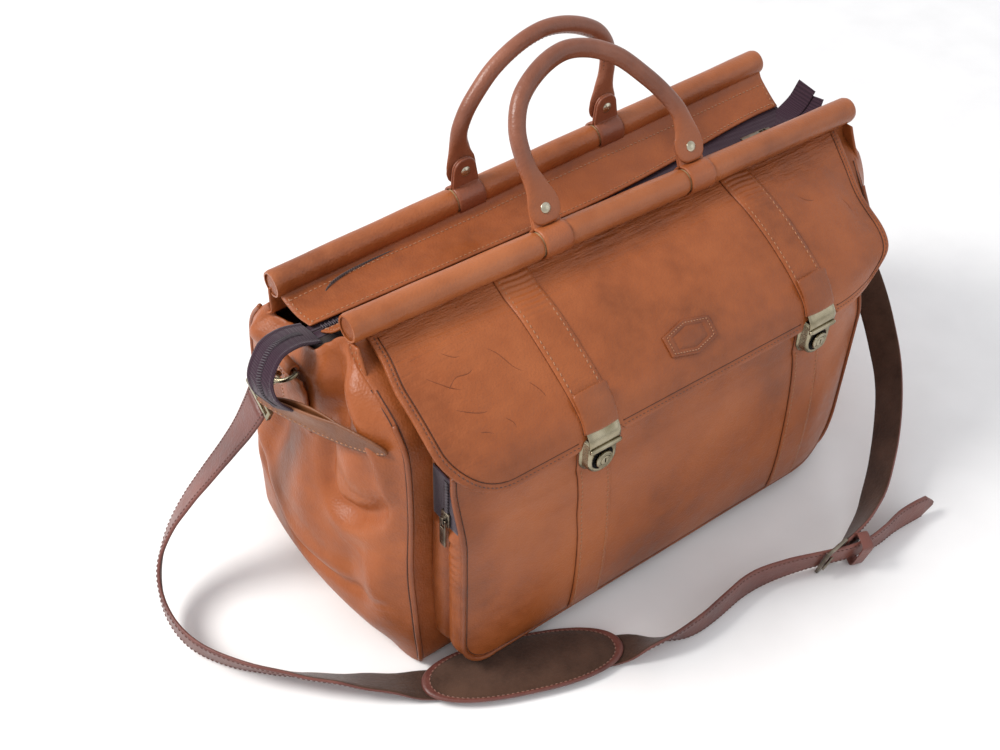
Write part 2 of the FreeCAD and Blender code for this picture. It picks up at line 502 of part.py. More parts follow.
def flap():
    sheet_part = sheet(FLAP_LINE, -LEATHER, 0, -FLAP_HALF_W, FLAP_HALF_W)
    front_y = FLAP_LINE[0][0] - 8
    plan = box(-FLAP_HALF_W, FLAP_HALF_W, front_y, HINGE_Y + 10, 150, 320)
    corner_edges = [e for e in plan.Edges if e.valueAt(e.FirstParameter).y < front_y + 1
                    and abs(e.tangentAt(e.FirstParameter).z) > 0.9]
    sheet_part = sheet_part.common(plan.makeFillet(FLAP_CORNER_R, corner_edges))
    roll = rod(HINGE_ROLL_R, (-FLAP_HALF_W, HINGE_Y, HINGE_Z), (FLAP_HALF_W, HINGE_Y, HINGE_Z))
    save("flap", sheet_part.fuse(roll))
    fin_front = FRONT_BAR_Y - FIN_T / 2 - 0.6
    root_line = [(HINGE_Y, HINGE_Z), (fin_front, FRONT_BAR_Z - WRAP_R - 5)]
    root = sheet(root_line, -LEATHER / 2, LEATHER / 2, -FLAP_HALF_W, FLAP_HALF_W)
    root = root.cut(rod(HINGE_ROLL_R + 0.3, (-300, HINGE_Y, HINGE_Z), (300, HINGE_Y, HINGE_Z)))
    for x in (-HANDLE_HALF_SPAN, HANDLE_HALF_SPAN):
        root = root.cut(box(x - 14, x + 14, HINGE_Y + 4, FRONT_BAR_Y, 260, 300))
    save("flap_root", max(root.Solids, key=lambda s: s.Volume))
    strip_line = FLAP_LINE[:-1]
    strips, tabs = [], []
    for s in (-1, 1):
        x0, x1 = s * STRIP_X - STRIP_W / 2, s * STRIP_X + STRIP_W / 2
        strips.append(sheet(strip_line, 0.05, STRIP_T, x0, x1))
        tab = sheet(HASP_TOP_LINE, STRIP_T + 0.05, 2 * STRIP_T, x0 + 1, x1 - 1)
        tabs.append(tab)
    save("flap_strips", *strips)
    save("hasp_tabs", *tabs)
    corners = [(BADGE_HALF_L, BADGE_SIDE_HALF), (0, BADGE_HALF_H), (-BADGE_HALF_L, BADGE_SIDE_HALF),
               (-BADGE_HALF_L, -BADGE_SIDE_HALF), (0, -BADGE_HALF_H), (BADGE_HALF_L, -BADGE_SIDE_HALF)]
    hexagon = [Vector(x, y, 0) for x, y in corners]
    badge = Part.Face(Part.makePolygon(hexagon + [hexagon[0]])).extrude(Vector(0, 0, BADGE_T))
    low, high = [Vector(BADGE_X, *FLAP_LINE[i]) for i in (1, 2)]
    slope = (high - low).normalize()
    out = X_AXIS.cross(slope)
    at = low + (high - low) * BADGE_SHARE + out * 0.05
    save("badge", framed(badge, tuple(at), (1, 0, 0), tuple(slope)))


# Locks: case with a bore and a slot, push button, key cylinder, latch, and the hasp on the flap

def locks():
    back = POCKET_FACE_Y - STRIP_T - 0.05
    front = back - CASE_DEPTH
    half = CASE_W / 2
    cases, plates = [], []
    for name, x in (("left", -STRIP_X), ("right", STRIP_X)):
        case = box(x - half, x + half, front, back, BUTTON_Z, CASE_TOP_Z)
        case = case.fuse(rod(half, (x, front, BUTTON_Z), (x, back, BUTTON_Z)))
        flange = rod(half + 1.6, (x, back - 1.2, BUTTON_Z), (x, back, BUTTON_Z))
        case = case.fuse(flange.common(box(x - 40, x + 40, front, back, 100, BUTTON_Z + 4)))
        case = case.cut(rod(BUTTON_R + 0.4, (x, front - 1, BUTTON_Z), (x, back - 1.5, BUTTON_Z)))
        case = case.cut(box(x - 6, x + 6, front - 1, front + 4.6, BUTTON_Z + 13, CASE_TOP_Z + 1))
        case = case.cut(box(x - 5.4, x + 5.4, front + 1, front + 4.6, BUTTON_Z + 6, BUTTON_Z + 14))
        cases.append(case)
        button = rod(BUTTON_R, (x, front - BUTTON_PROUD, BUTTON_Z), (x, back - 5, BUTTON_Z))
        button = button.cut(rod(KEY_R + 0.2, (x, front - BUTTON_PROUD - 1, BUTTON_Z), (x, back - 6.5, BUTTON_Z)))
        save("lock_button_" + name, button)
        key = rod(KEY_R, (x, front - BUTTON_PROUD, BUTTON_Z), (x, back - 6.8, BUTTON_Z))
        slot = box(x - 0.6, x + 0.6, front - BUTTON_PROUD - 1, front, BUTTON_Z - 2.4, BUTTON_Z + 2.4)
        save("key_cylinder_" + name, key.cut(slot))
        save("lock_latch_" + name, box(x - 4.8, x + 4.8, front + 1.5, front + 4.2, BUTTON_Z + 9.6, BUTTON_Z + 12.4))
        inner = front - 0.4
        plate_line = [(inner, 200.0), (inner, 216.0), (-151.0, 230.0)]
        plate = sheet(plate_line, 0, PLATE_T, x - half, x + half)
        lip = rod(1.6, (x - half, inner - 1.5, 200.0), (x + half, inner - 1.5, 200.0))
        lug = box(x - 5, x + 5, inner, front + 4, BUTTON_Z + 14, BUTTON_Z + 17.6)
        plates.append(plate.fuse([lip, lug]))
    save("lock_cases", *cases)
    save("hasp_plates", *plates)


# End rings, their leather chapes, snap hooks and gates (left side drawn, right side mirrored)

def ring_and_hook(heading):
    bar_x = -HALF_BODY - END_BULGE - 5.2
    bow = Part.makeTorus(RING_R, RING_WIRE, Vector(0, 0, 0), Z_AXIS, -180, 180, 180)
    bow.rotate(Vector(0, 0, 0), Z_AXIS, 90)
    straight = rod(RING_WIRE, (0, -RING_R, 0), (0, RING_R, 0))
    knuckles = [Part.makeSphere(RING_WIRE, Vector(0, s * RING_R, 0)) for s in (-1, 1)]
    ring = placed(bow.fuse([straight] + knuckles), (bar_x, RING_Y, RING_Z), Rotation(Y_AXIS, -RING_DROOP))
    patch = box(bar_x - 1, -HALF_BODY - END_BULGE + 6, RING_Y - CHAPE_W / 2 - 4, RING_Y + CHAPE_W / 2 + 4,
                RING_Z - CHAPE_H, RING_Z - 6)
    neck = box(bar_x - 1, -HALF_BODY - END_BULGE + 2, RING_Y - CHAPE_W / 2, RING_Y + CHAPE_W / 2,
               RING_Z - 8, RING_Z)
    curl = rod(4.4, (bar_x, RING_Y - CHAPE_W / 2, RING_Z), (bar_x, RING_Y + CHAPE_W / 2, RING_Z))
    chape = patch.fuse([neck, curl])
    chape = chape.cut(rod(RING_WIRE + 0.4, (bar_x, -60, RING_Z), (bar_x, 60, RING_Z)))
    chape = chape.cut(plan_block(0, 0, GUSSET_TOP_Z + 0.2))
    droop = math.radians(RING_DROOP)
    bow_at = Vector(bar_x - RING_R * math.cos(droop), RING_Y, RING_Z - RING_R * math.sin(droop))
    down = Vector(*heading).normalize()
    centre = bow_at + down * (HOOK_R - HOOK_WIRE - RING_WIRE - 0.5)
    side = down.cross(Y_AXIS).normalize()
    across = down.cross(side).normalize()
    loop = Part.makeTorus(HOOK_R, HOOK_WIRE, Vector(0, 0, 0), Z_AXIS, -180, 180, 300)
    loop.rotate(Vector(0, 0, 0), Z_AXIS, 30)
    loop = framed(loop, tuple(centre), tuple(side), tuple(down))
    shank = Part.makeCylinder(3.0, 9.0, centre + down * (HOOK_R - 1), down)
    head = Part.makeCylinder(4.2, 4.0, centre + down * (HOOK_R + 7), down)
    frame_at = centre + down * (HOOK_R + 15.5)
    eye = box(-18, 18, -5, 5, -1.5, 1.5).cut(box(-15, 15, -2.4, 2.4, -2, 2))
    eye = framed(eye, tuple(frame_at), tuple(across), tuple(down))
    hook = loop.fuse([shank, head, eye])
    gate_from, gate_to = [centre + side * (HOOK_R * math.cos(a)) + down * (HOOK_R * math.sin(a))
                          for a in (math.radians(25), math.radians(-25))]
    inward = side * -0.2
    gate = Part.makeCylinder(1.4, (gate_to - gate_from).Length - 2.4, gate_from + inward + (gate_to - gate_from) * 0.16,
                             gate_to - gate_from)
    gate = gate.cut(hook)
    return ring, chape, hook, gate, frame_at + down * 4.9


def ends():
    ring, left_chape, left_hook, gate, strap_end = ring_and_hook((-0.16, 0.42, -0.9))
    save("d_ring_left", ring)
    save("snap_gate_left", gate)
    print("left hook strap end", [round(c, 1) for c in strap_end])
    ring, chape, hook, gate, strap_end = ring_and_hook((-0.12, -0.32, -0.94))
    save("d_ring_right", mirrored(ring))
    save("snap_gate_right", mirrored(gate))
    save("ring_chapes", left_chape, mirrored(chape))
    save("snap_hooks", left_hook, mirrored(hook))
    print("right hook strap end", [round(-strap_end.x, 1), round(strap_end.y, 1), round(strap_end.z, 1)])


# Shoulder strap in two lengths, its pad, buckle, prong and keeper

def strap():
    for name, route in (("strap_long", LONG_ROUTE), ("strap_short", SHORT_ROUTE)):
        solid, length, radii = band(route, STRAP_W, STRAP_T)
        ratio = solid.Volume / (STRAP_W * STRAP_T * length)
        print(name, "length", round(length), "radii", [round(r) for r in radii], "volume ratio", round(ratio, 3),
              "low", round(solid.BoundBox.ZMin, 2), "valid", solid.isValid())
        if name == "strap_long":
            solid = solid.cut(framed(box(-5, 14, -2.6, 2.6, -8, 8), BUCKLE_AT, BUCKLE_ALONG, BUCKLE_ACROSS))
        save(name, solid)
    pad = rounded_plate(PAD_LENGTH / 2, PAD_WIDTH / 2, PAD_LOW, PAD_LOW + PAD_T)
    turn = Rotation(Z_AXIS, PAD_HEADING)
    save("shoulder_pad", placed(pad, (PAD_CENTRE[0], PAD_CENTRE[1], 0), turn))
    long_half, wide_half, wire = BUCKLE_L / 2, BUCKLE_W / 2, BUCKLE_WIRE
    frame = box(-long_half, long_half, -wide_half, wide_half, -wire / 2, wire / 2)
    frame = frame.cut(box(-long_half + wire, long_half - wire, -wide_half + wire, wide_half - wire, -wire, wire))
    frame.rotate(Vector(0, 0, 0), Y_AXIS, BUCKLE_TILT)
    save("buckle_frame", framed(frame, BUCKLE_AT, BUCKLE_ALONG, BUCKLE_ACROSS))
    tilt = math.radians(BUCKLE_TILT)
    reach = long_half - wire / 2
    near = Vector(reach * math.cos(tilt), 0, -reach * math.sin(tilt))
    collar = rod(3.0, (near.x, -2.0, near.z), (near.x, 2.0, near.z))
    tip = Vector(-near.x - 2.5, 0, -near.z + 5.3)
    tongue = Part.makeCylinder(1.2, (tip - near).Length, near, tip - near)
    prong = collar.fuse(tongue)
    bore = rod(wire / math.sqrt(2) + 0.1, (near.x, -20, near.z), (near.x, 20, near.z))
    save("buckle_prong", framed(prong.cut(bore), BUCKLE_AT, BUCKLE_ALONG, BUCKLE_ACROSS))
    keeper = box(-5, 5, -17.6, 17.6, -8.4, 8.4).cut(box(-6, 6, -16.2, 16.2, -7.2, 7.2))
    along, across = Vector(*BUCKLE_ALONG), Vector(*BUCKLE_ACROSS)
    keeper_at = Vector(*BUCKLE_AT) + along * KEEPER_AT + along.cross(across) * -1.5
    save("strap_keeper", framed(keeper, tuple(keeper_at), BUCKLE_ALONG, BUCKLE_ACROSS))


os.makedirs("parts", exist_ok=True)
bars_and_handles()
body()
mouth()
pocket()
flap()
locks()
ends()
strap()
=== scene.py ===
import math

import bmesh
import bpy
import numpy as np
from mathutils import Matrix, Vector


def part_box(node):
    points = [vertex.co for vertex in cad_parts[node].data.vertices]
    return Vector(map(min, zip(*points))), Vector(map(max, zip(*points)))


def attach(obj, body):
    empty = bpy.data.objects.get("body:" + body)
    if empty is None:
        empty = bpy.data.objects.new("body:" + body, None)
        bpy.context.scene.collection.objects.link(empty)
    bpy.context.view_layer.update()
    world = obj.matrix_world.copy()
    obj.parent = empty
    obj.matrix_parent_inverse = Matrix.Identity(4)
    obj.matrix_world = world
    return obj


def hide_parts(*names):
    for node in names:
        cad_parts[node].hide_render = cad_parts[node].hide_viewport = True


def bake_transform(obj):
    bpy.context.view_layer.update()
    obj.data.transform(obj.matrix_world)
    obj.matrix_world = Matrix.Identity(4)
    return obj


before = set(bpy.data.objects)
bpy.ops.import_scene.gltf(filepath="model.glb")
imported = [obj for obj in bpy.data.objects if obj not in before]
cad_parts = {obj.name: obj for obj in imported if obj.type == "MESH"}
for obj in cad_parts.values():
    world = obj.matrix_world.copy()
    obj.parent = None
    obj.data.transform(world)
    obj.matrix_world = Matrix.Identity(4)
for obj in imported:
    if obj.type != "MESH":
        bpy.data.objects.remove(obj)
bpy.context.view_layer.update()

# Looks of a leather travel bag round its CAD frame, in metres. What lies on CAD parts takes its place from
# the frame's boxes; the soft shell, the strap and the folds have their own lines below.
BAG = "bag"
MM = 0.001
LEATHER_T = 2.4 * MM
REAR_TILT = math.tan(math.radians(3.2))

# Sag of the soft bag: the right end inward and back, the bellies of the left end and the back, and the
# pieces that take part, by how their names start
SAG_IN, SAG_BACK = 28 * MM, 19 * MM
END_BELLY, BACK_BELLY = 13 * MM, 9 * MM
SAGGING = ("flap_", "body_", "end_piping", "base_", "cloth_", "pocket_")

# Folds of leather, in mm: points of the line in flat coordinates, width, and height (a valley is below zero)
BACK_FOLDS = [([(-222, 212), (-198, 172), (-150, 138), (-96, 128)], 12, -7.5),
              ([(-236, 168), (-214, 128), (-170, 98)], 10, 5.0),
              ([(218, 206), (204, 160), (170, 118), (122, 98)], 13, -7.5),
              ([(-140, 52), (-30, 40), (96, 54)], 11, 5.0),
              ([(36, 200), (22, 160), (-24, 124)], 14, -5.0),
              ([(112, 190), (96, 160), (88, 122)], 12, 4.0),
              ([(232, 92), (206, 62), (160, 44)], 11, -5.5)]
END_FOLDS = [([(-62, 206), (-64, 184), (-72, 160)], 17, 8.0),
             ([(-34, 218), (-31, 188), (-30, 158), (-42, 138), (-62, 137), (-80, 149), (-100, 172)],
              8, -10.0),
             ([(-24, 170), (-36, 148), (-50, 126), (-80, 132), (-104, 152)], 12, 4.5),
             ([(84, 112), (60, 88), (36, 67), (3, 50), (-32, 53), (-66, 60), (-98, 67)], 5.5, -4.5),
             ([(70, 118), (44, 90), (8, 68), (-32, 69), (-68, 76)], 9, 4.0),
             ([(-30, 268), (-40, 238), (-50, 208)], 12, -15.0),
             ([(-54, 270), (-66, 250), (-78, 234), (-92, 212), (-99, 180), (-100, 150)], 9, 7.5),
             ([(-2, 178), (-6, 130), (4, 84)], 24, 5.5),
             ([(-70, 108), (-64, 82), (-74, 58)], 13, -5.0),
             ([(34, 196), (40, 150), (58, 104)], 12, -5.5),
             ([(76, 192), (70, 140), (78, 96)], 16, 4.0),
             ([(-98, 120), (-94, 90), (-98, 55)], 13, 5.0),
             ([(54, 232), (74, 222), (94, 202)], 11, 9.0),
             ([(44, 212), (64, 200), (84, 178)], 8, -5.0)]

HANDLE_X = 72.5 * MM
STRIP_X, STRIP_HALF = 113.5 * MM, 15 * MM

# Flap: its outer line from the lower edge up to the bar (y, z in mm), then its outline
FLAP_LINE = [(-158.8, 202.5), (-156, 211), (-149, 224), (-130, 238.5), (-104, 254.5),
             (-78, 268), (-60, 275.3), (-49, 279.3), (-43, 282.4)]
FLAP_HALF, FLAP_CORNER, FLAP_LOW = 240 * MM, 50 * MM, -9 * MM

# Body: outer lines of the front and rear panels from the base up (y, z in mm)
FRONT_LINE = [(-106, 0.2), (-117, 3.5), (-121, 13), (-118, 60), (-114, 120), (-113, 205),
              (-106, 236), (-84, 254), (-60, 265), (-48, 271), (-44, 281)]
REAR_LINE = [(94, 0.2), (104, 4), (108, 16), (110, 100), (108, 190), (92, 222),
             (72, 243), (71, 258), (71, 270)]
END_X, END_BULGE, UNDER_R = 250 * MM, 17 * MM, 30 * MM

# Pocket: face, half width, height and lower corner radius
POCKET_Y, POCKET_BACK_Y, POCKET_HALF = -150 * MM, -113 * MM, 230 * MM
POCKET_LOW, POCKET_TOP, POCKET_CORNER = 13 * MM, 206 * MM, 30 * MM

# Shoulder strap: the routes of its two lengths (point, width direction), in mm as in the CAD
STRAP_W, STRAP_T = 28 * MM, 3.4 * MM
LONG_ROUTE = [
    ((-292.5, 23.4, 199.9), (-0.07, -0.84, -0.38)), ((-297, 33, 178), (-0.25, -0.88, -0.35)),
    ((-307, 43, 153), (-0.40, -0.87, -0.15)), ((-322, 53, 126), (-0.47, -0.87, -0.06)),
    ((-341, 62, 98), (-0.46, -0.86, 0.12)), ((-363, 65, 70), (-0.38, -0.80, 0.38)),
    ((-382, 56, 45), (-0.22, -0.62, 0.72)), ((-393, 31, 27), (-0.08, -0.38, 0.92)),
    ((-392, -2, 17.5), (-0.08, -0.33, 0.94)), ((-377, -34, 15), (-0.14, -0.38, 0.92)),
    ((-351, -66, 14.2), (-0.20, -0.48, 0.86)), ((-320, -94, 12.5), (-0.30, -0.65, 0.70)),
    ((-287, -121, 9.0), (-0.38, -0.80, 0.45)), ((-254, -144, 3.0), (-0.42, -0.88, 0.0)),
    ((-220, -160, 2.7), (-0.43, -0.90, 0.0)), ((-184, -175, 2.5), (-0.40, -0.92, 0.0)),
    ((-148, -189, 2.7), (-0.40, -0.92, 0.0)), ((-114, -203, 3.0), (-0.38, -0.90, 0.0)),
    ((-88, -221, 13.0), (-0.20, -0.55, 0.75)), ((-58, -229, 14.6), (0.0, -0.1, 1.0)),
    ((-26, -226, 14.8), (0.0, 0.0, 1.0)), ((9, -221, 15.0), (0.0, 0.0, 1.0)),
    ((42, -228, 16.5), (0.0, -0.15, 1.0)), ((72, -240, 19.4), (0.0, -0.30, 0.95)),
    ((104, -252.5, 19.4), (0.0, -0.30, 0.95)), ((136, -254, 17), (0.0, -0.1, 1.0)),
    ((170, -248, 14.8), (0.0, 0.0, 1.0)), ((207, -253, 14.8), (0.0, 0.0, 1.0))]
SHORT_ROUTE = [
    ((291.2, -3.8, 197.8), (-0.04, 0.90, -0.30)), ((292, -15, 178), (-0.45, 0.80, -0.40)),
    ((290, -36, 160), (-0.65, 0.62, -0.43)), ((284, -64, 140), (-0.72, 0.54, -0.43)),
    ((273, -97, 120), (-0.70, 0.52, -0.48)), ((259, -129, 96), (-0.50, 0.60, -0.60)),
    ((242, -159, 73), (-0.40, 0.52, -0.75)), ((208, -191, 52), (-0.36, 0.60, -0.68)),
    ((168, -219, 36), (-0.30, 0.60, -0.70)), ((132, -237, 24), (-0.18, 0.50, -0.82)),
    ((99, -243.5, 20), (0.0, 0.30, -0.95))]


# Camera, light and floor

def camera():
    """Camera at the photographer's place: its right, up and back directions, and where it stands."""
    data = bpy.data.cameras.new("camera")
    data.lens, data.sensor_width = 47.1, 36
    data.clip_start, data.clip_end = 0.02, 50
    cam = bpy.data.objects.new("camera", data)
    right, up, back = (0.797, -0.603, 0.022), (0.39, 0.543, 0.743), (-0.461, -0.584, 0.668)
    turn = Matrix((right, up, back)).transposed().to_4x4()
    cam.matrix_world = Matrix.Translation((-0.5863, -0.6371, 0.8627)) @ turn
    bpy.context.scene.collection.objects.link(cam)
    bpy.context.scene.camera = cam


def area_light(name, at, toward, size, power, colour):
    data = bpy.data.lights.new(name, "AREA")
    data.shape, data.size, data.energy, data.color = "DISK", size, power, colour
    light = bpy.data.objects.new(name, data)
    light.location = at
    light.rotation_mode = "QUATERNION"
    light.rotation_quaternion = (Vector(toward) - Vector(at)).to_track_quat("-Z", "Y")
    bpy.context.scene.collection.objects.link(light)


def studio():
    bpy.context.scene.view_settings.view_transform = "Standard"
    world = bpy.data.worlds.new("studio")
    world.use_nodes = True
    back = world.node_tree.nodes["Background"]
    back.inputs["Color"].default_value = (0.96, 0.97, 1.0, 1)
    back.inputs["Strength"].default_value = 0.85
    bpy.context.scene.world = world
    area_light("key", (-1.5, 0.6, 1.8), (0, 0, 0.15), 0.9, 46, (1.0, 0.98, 0.95))
    area_light("fill", (1.2, -1.7, 1.2), (0, 0, 0.15), 1.8, 4, (0.94, 0.96, 1.0))
    mesh = bpy.data.meshes.new("floor")
    half = 6.0
    mesh.from_pydata([(-half, -half, 0), (half, -half, 0), (half, half, 0), (-half, half, 0)], [],
                     [(0, 1, 2, 3)])
    floor = bpy.data.objects.new("floor", mesh)
    bpy.context.scene.collection.objects.link(floor)
    floor.data.materials.append(floor_material())


# Materials

def new_material(name, rough, metal=0.0, specular=0.5, coat=0.0, coat_rough=0.3, sheen=0.0):
    mat = bpy.data.materials.new(name)
    mat.use_nodes = True
    nodes, links = mat.node_tree.nodes, mat.node_tree.links
    shader = nodes["Principled BSDF"]
    shader.inputs["Roughness"].default_value = rough
    shader.inputs["Metallic"].default_value = metal
    shader.inputs["Specular IOR Level"].default_value = specular
    shader.inputs["Coat Weight"].default_value = coat
    shader.inputs["Coat Roughness"].default_value = coat_rough
    shader.inputs["Sheen Weight"].default_value = sheen
    place = nodes.new("ShaderNodeTexCoord").outputs["Object"]
    return mat, nodes, links, shader, place


def noise_node(nodes, links, place, scale, detail=3.0, rough=0.5, stretch=None):
    if stretch is not None:
        mapping = nodes.new("ShaderNodeMapping")
        mapping.inputs["Scale"].default_value = stretch
        links.new(place, mapping.inputs["Vector"])
        place = mapping.outputs["Vector"]
    node = nodes.new("ShaderNodeTexNoise")
    node.inputs["Scale"].default_value = scale
    node.inputs["Detail"].default_value = detail
    node.inputs["Roughness"].default_value = rough
    links.new(place, node.inputs["Vector"])
    return node.outputs["Fac"]


def cells_node(nodes, links, place, scale, feature="F1"):
    node = nodes.new("ShaderNodeTexVoronoi")
    node.feature = feature
    node.inputs["Scale"].default_value = scale
    links.new(place, node.inputs["Vector"])
    return node.outputs["Distance"]


def ramp_node(nodes, links, value, stops):
    node = nodes.new("ShaderNodeValToRGB")
    ramp = node.color_ramp
    while len(ramp.elements) < len(stops):
        ramp.elements.new(0.5)
    for element, (at, colour) in zip(ramp.elements, stops):
        element.position = at
        element.color = (*colour, 1)
    links.new(value, node.inputs["Fac"])
    return node.outputs["Color"]


def range_node(nodes, links, value, low, high, to_low, to_high):
    node = nodes.new("ShaderNodeMapRange")
    for key, number in (("From Min", low), ("From Max", high), ("To Min", to_low), ("To Max", to_high)):
        node.inputs[key].default_value = number
    links.new(value, node.inputs["Value"])
    return node.outputs["Result"]


def mix_node(nodes, links, share, a, b, blend="MIX"):
    node = nodes.new("ShaderNodeMix")
    node.data_type, node.blend_type = "RGBA", blend
    for socket, value in ((node.inputs["Factor"], share), (node.inputs["A"], a), (node.inputs["B"], b)):
        if isinstance(value, bpy.types.NodeSocket):
            links.new(value, socket)
        elif socket.type == "RGBA":
            socket.default_value = (*value, 1)
        else:
            socket.default_value = value
    return node.outputs["Result"]


def bump_node(nodes, links, height, depth, strength, after=None):
    node = nodes.new("ShaderNodeBump")
    node.inputs["Distance"].default_value = depth
    node.inputs["Strength"].default_value = strength
    links.new(height, node.inputs["Height"])
    if after is not None:
        links.new(after, node.inputs["Normal"])
    return node.outputs["Normal"]


def floor_material():
    mat, nodes, links, shader, place = new_material("pale_floor", 0.7, specular=0.2)
    speck = noise_node(nodes, links, place, 14, 6)
    links.new(ramp_node(nodes, links, speck, [(0.3, (0.86, 0.855, 0.85)), (0.7, (0.91, 0.905, 0.90))]),
              shader.inputs["Base Color"])
    return mat


def leather(name, deep, base, pale, rough=0.46, grain=1.0, crease=0.0, coat=0.07, foot=None):
    """Full-grain leather: cloudy colour, pores, fine grain and, where asked, crinkles along X."""
    mat, nodes, links, shader, place = new_material(name, rough, specular=0.36, coat=coat, coat_rough=0.3)
    cloud = noise_node(nodes, links, place, 11, 4, 0.55)
    colour = ramp_node(nodes, links, cloud, [(0.30, deep), (0.5, base), (0.72, pale)])
    mottle = noise_node(nodes, links, place, 90, 3, 0.6)
    colour = mix_node(nodes, links, range_node(nodes, links, mottle, 0.35, 0.75, 0.0, 0.35), colour, pale)
    pores = cells_node(nodes, links, place, 620)
    dark = tuple(0.55 * c for c in deep)
    colour = mix_node(nodes, links, range_node(nodes, links, pores, 0.0, 0.25, 0.35, 0.0), colour, dark)
    if foot:
        share = nodes.new("ShaderNodeAttribute")
        share.attribute_name = "crease"
        colour = mix_node(nodes, links, share.outputs["Fac"], colour, foot)
    links.new(colour, shader.inputs["Base Color"])
    links.new(range_node(nodes, links, mottle, 0.3, 0.7, rough - 0.07, rough + 0.09),
              shader.inputs["Roughness"])
    normal = bump_node(nodes, links, cells_node(nodes, links, place, 520), 0.0004 * grain, 0.5)
    normal = bump_node(nodes, links, noise_node(nodes, links, place, 240, 4, 0.6), 0.0005 * grain, 0.45,
                       normal)
    normal = bump_node(nodes, links, noise_node(nodes, links, place, 38, 2), 0.0016, 0.3, normal)
    if crease > 0:
        lines = noise_node(nodes, links, place, 1.0, 4, 0.65, stretch=(26, 210, 210))
        strength = nodes.new("ShaderNodeAttribute")
        strength.attribute_name = "crease"
        node = nodes.new("ShaderNodeMath")
        node.operation = "MULTIPLY"
        links.new(lines, node.inputs[0])
        links.new(strength.outputs["Fac"], node.inputs[1])
        normal = bump_node(nodes, links, node.outputs[0], 0.0022, crease, normal)
    links.new(normal, shader.inputs["Normal"])
    return mat


def suede(name, deep, pale):
    mat, nodes, links, shader, place = new_material(name, 0.95, specular=0.1, sheen=0.25)
    nap = noise_node(nodes, links, place, 420, 5, 0.7)
    brushed = noise_node(nodes, links, place, 35, 3, 0.6)
    colour = ramp_node(nodes, links, brushed, [(0.35, deep), (0.7, pale)])
    colour = mix_node(nodes, links, range_node(nodes, links, nap, 0.4, 0.7, 0.0, 0.5), colour, pale)
    links.new(colour, shader.inputs["Base Color"])
    links.new(bump_node(nodes, links, nap, 0.0007, 0.8), shader.inputs["Normal"])
    return mat


def woven(name, deep, pale, threads=1500):
    """Close-woven tape or lining."""
    mat, nodes, links, shader, place = new_material(name, 0.82, specular=0.2, sheen=0.2)
    waves = []
    for direction in ("X", "Y", "Z"):
        wave = nodes.new("ShaderNodeTexWave")
        wave.bands_direction = direction
        wave.inputs["Scale"].default_value = threads / 6
        links.new(place, wave.inputs["Vector"])
        waves.append(wave.outputs["Fac"])
    colour = mix_node(nodes, links, waves[0], deep, pale)
    colour = mix_node(nodes, links, range_node(nodes, links, waves[1], 0, 1, 0, 0.5), colour, deep)
    links.new(colour, shader.inputs["Base Color"])
    normal = bump_node(nodes, links, waves[0], 0.0003, 0.5)
    normal = bump_node(nodes, links, waves[2], 0.0003, 0.5, normal)
    links.new(normal, shader.inputs["Normal"])
    return mat


def brass(name, deep, pale, rough=0.3):
    """Antique brass: brushed, darker in patches, bright where it is rubbed."""
    mat, nodes, links, shader, place = new_material(name, rough, metal=1.0)
    patina = noise_node(nodes, links, place, 60, 3, 0.5)
    colour = ramp_node(nodes, links, patina, [(0.32, deep), (0.62, pale)])
    links.new(colour, shader.inputs["Base Color"])
    brushed = noise_node(nodes, links, place, 1.0, 3, 0.6, stretch=(300, 300, 4200))
    links.new(range_node(nodes, links, brushed, 0.3, 0.7, rough - 0.08, rough + 0.14),
              shader.inputs["Roughness"])
    links.new(bump_node(nodes, links, brushed, 0.00008, 0.35), shader.inputs["Normal"])
    return mat


def wood(name):
    mat, nodes, links, shader, place = new_material(name, 0.6)
    rings = noise_node(nodes, links, place, 1.0, 4, 0.6, stretch=(8, 180, 180))
    links.new(ramp_node(nodes, links, rings, [(0.3, (0.32, 0.19, 0.09)), (0.7, (0.55, 0.36, 0.2))]),
              shader.inputs["Base Color"])
    links.new(bump_node(nodes, links, rings, 0.0003, 0.4), shader.inputs["Normal"])
    return mat


def thread(name, colour):
    mat, nodes, links, shader, place = new_material(name, 0.7, sheen=0.2)
    twist = noise_node(nodes, links, place, 1800, 2)
    dark = tuple(0.6 * c for c in colour)
    links.new(ramp_node(nodes, links, twist, [(0.35, dark), (0.65, colour)]), shader.inputs["Base Color"])
    links.new(bump_node(nodes, links, twist, 0.0002, 0.5), shader.inputs["Normal"])
    return mat


# Shapes: lines, skins, shells, sweeps and stitches

def unit(v):
    return v / np.maximum(np.linalg.norm(v, axis=-1, keepdims=True), 1e-12)


def grid_of(rows, cols):
    return np.meshgrid(rows, cols, indexing="ij")


def facing(direction, points):
    """The same direction at every point of a grid or line."""
    return np.broadcast_to(np.asarray(direction, float), points.shape)


def run_of(line):
    """Distance along a line at each of its points."""
    return np.r_[0, np.cumsum(np.linalg.norm(np.diff(line, axis=0), axis=1))]


def even_steps(rows, count, place=None):
    """Rows in even steps along the line that their columns make, or only the first few if place says so."""
    run = run_of(rows[:, :place])
    at = np.linspace(0, run[-1], count)
    return np.stack([np.interp(at, run, rows[:, i]) for i in range(rows.shape[1])], 1)


def at_run(s, run, line):
    """Both coordinates of a flat line at a distance along it."""
    return np.interp(s, run, line[:, 0]), np.interp(s, run, line[:, 1])


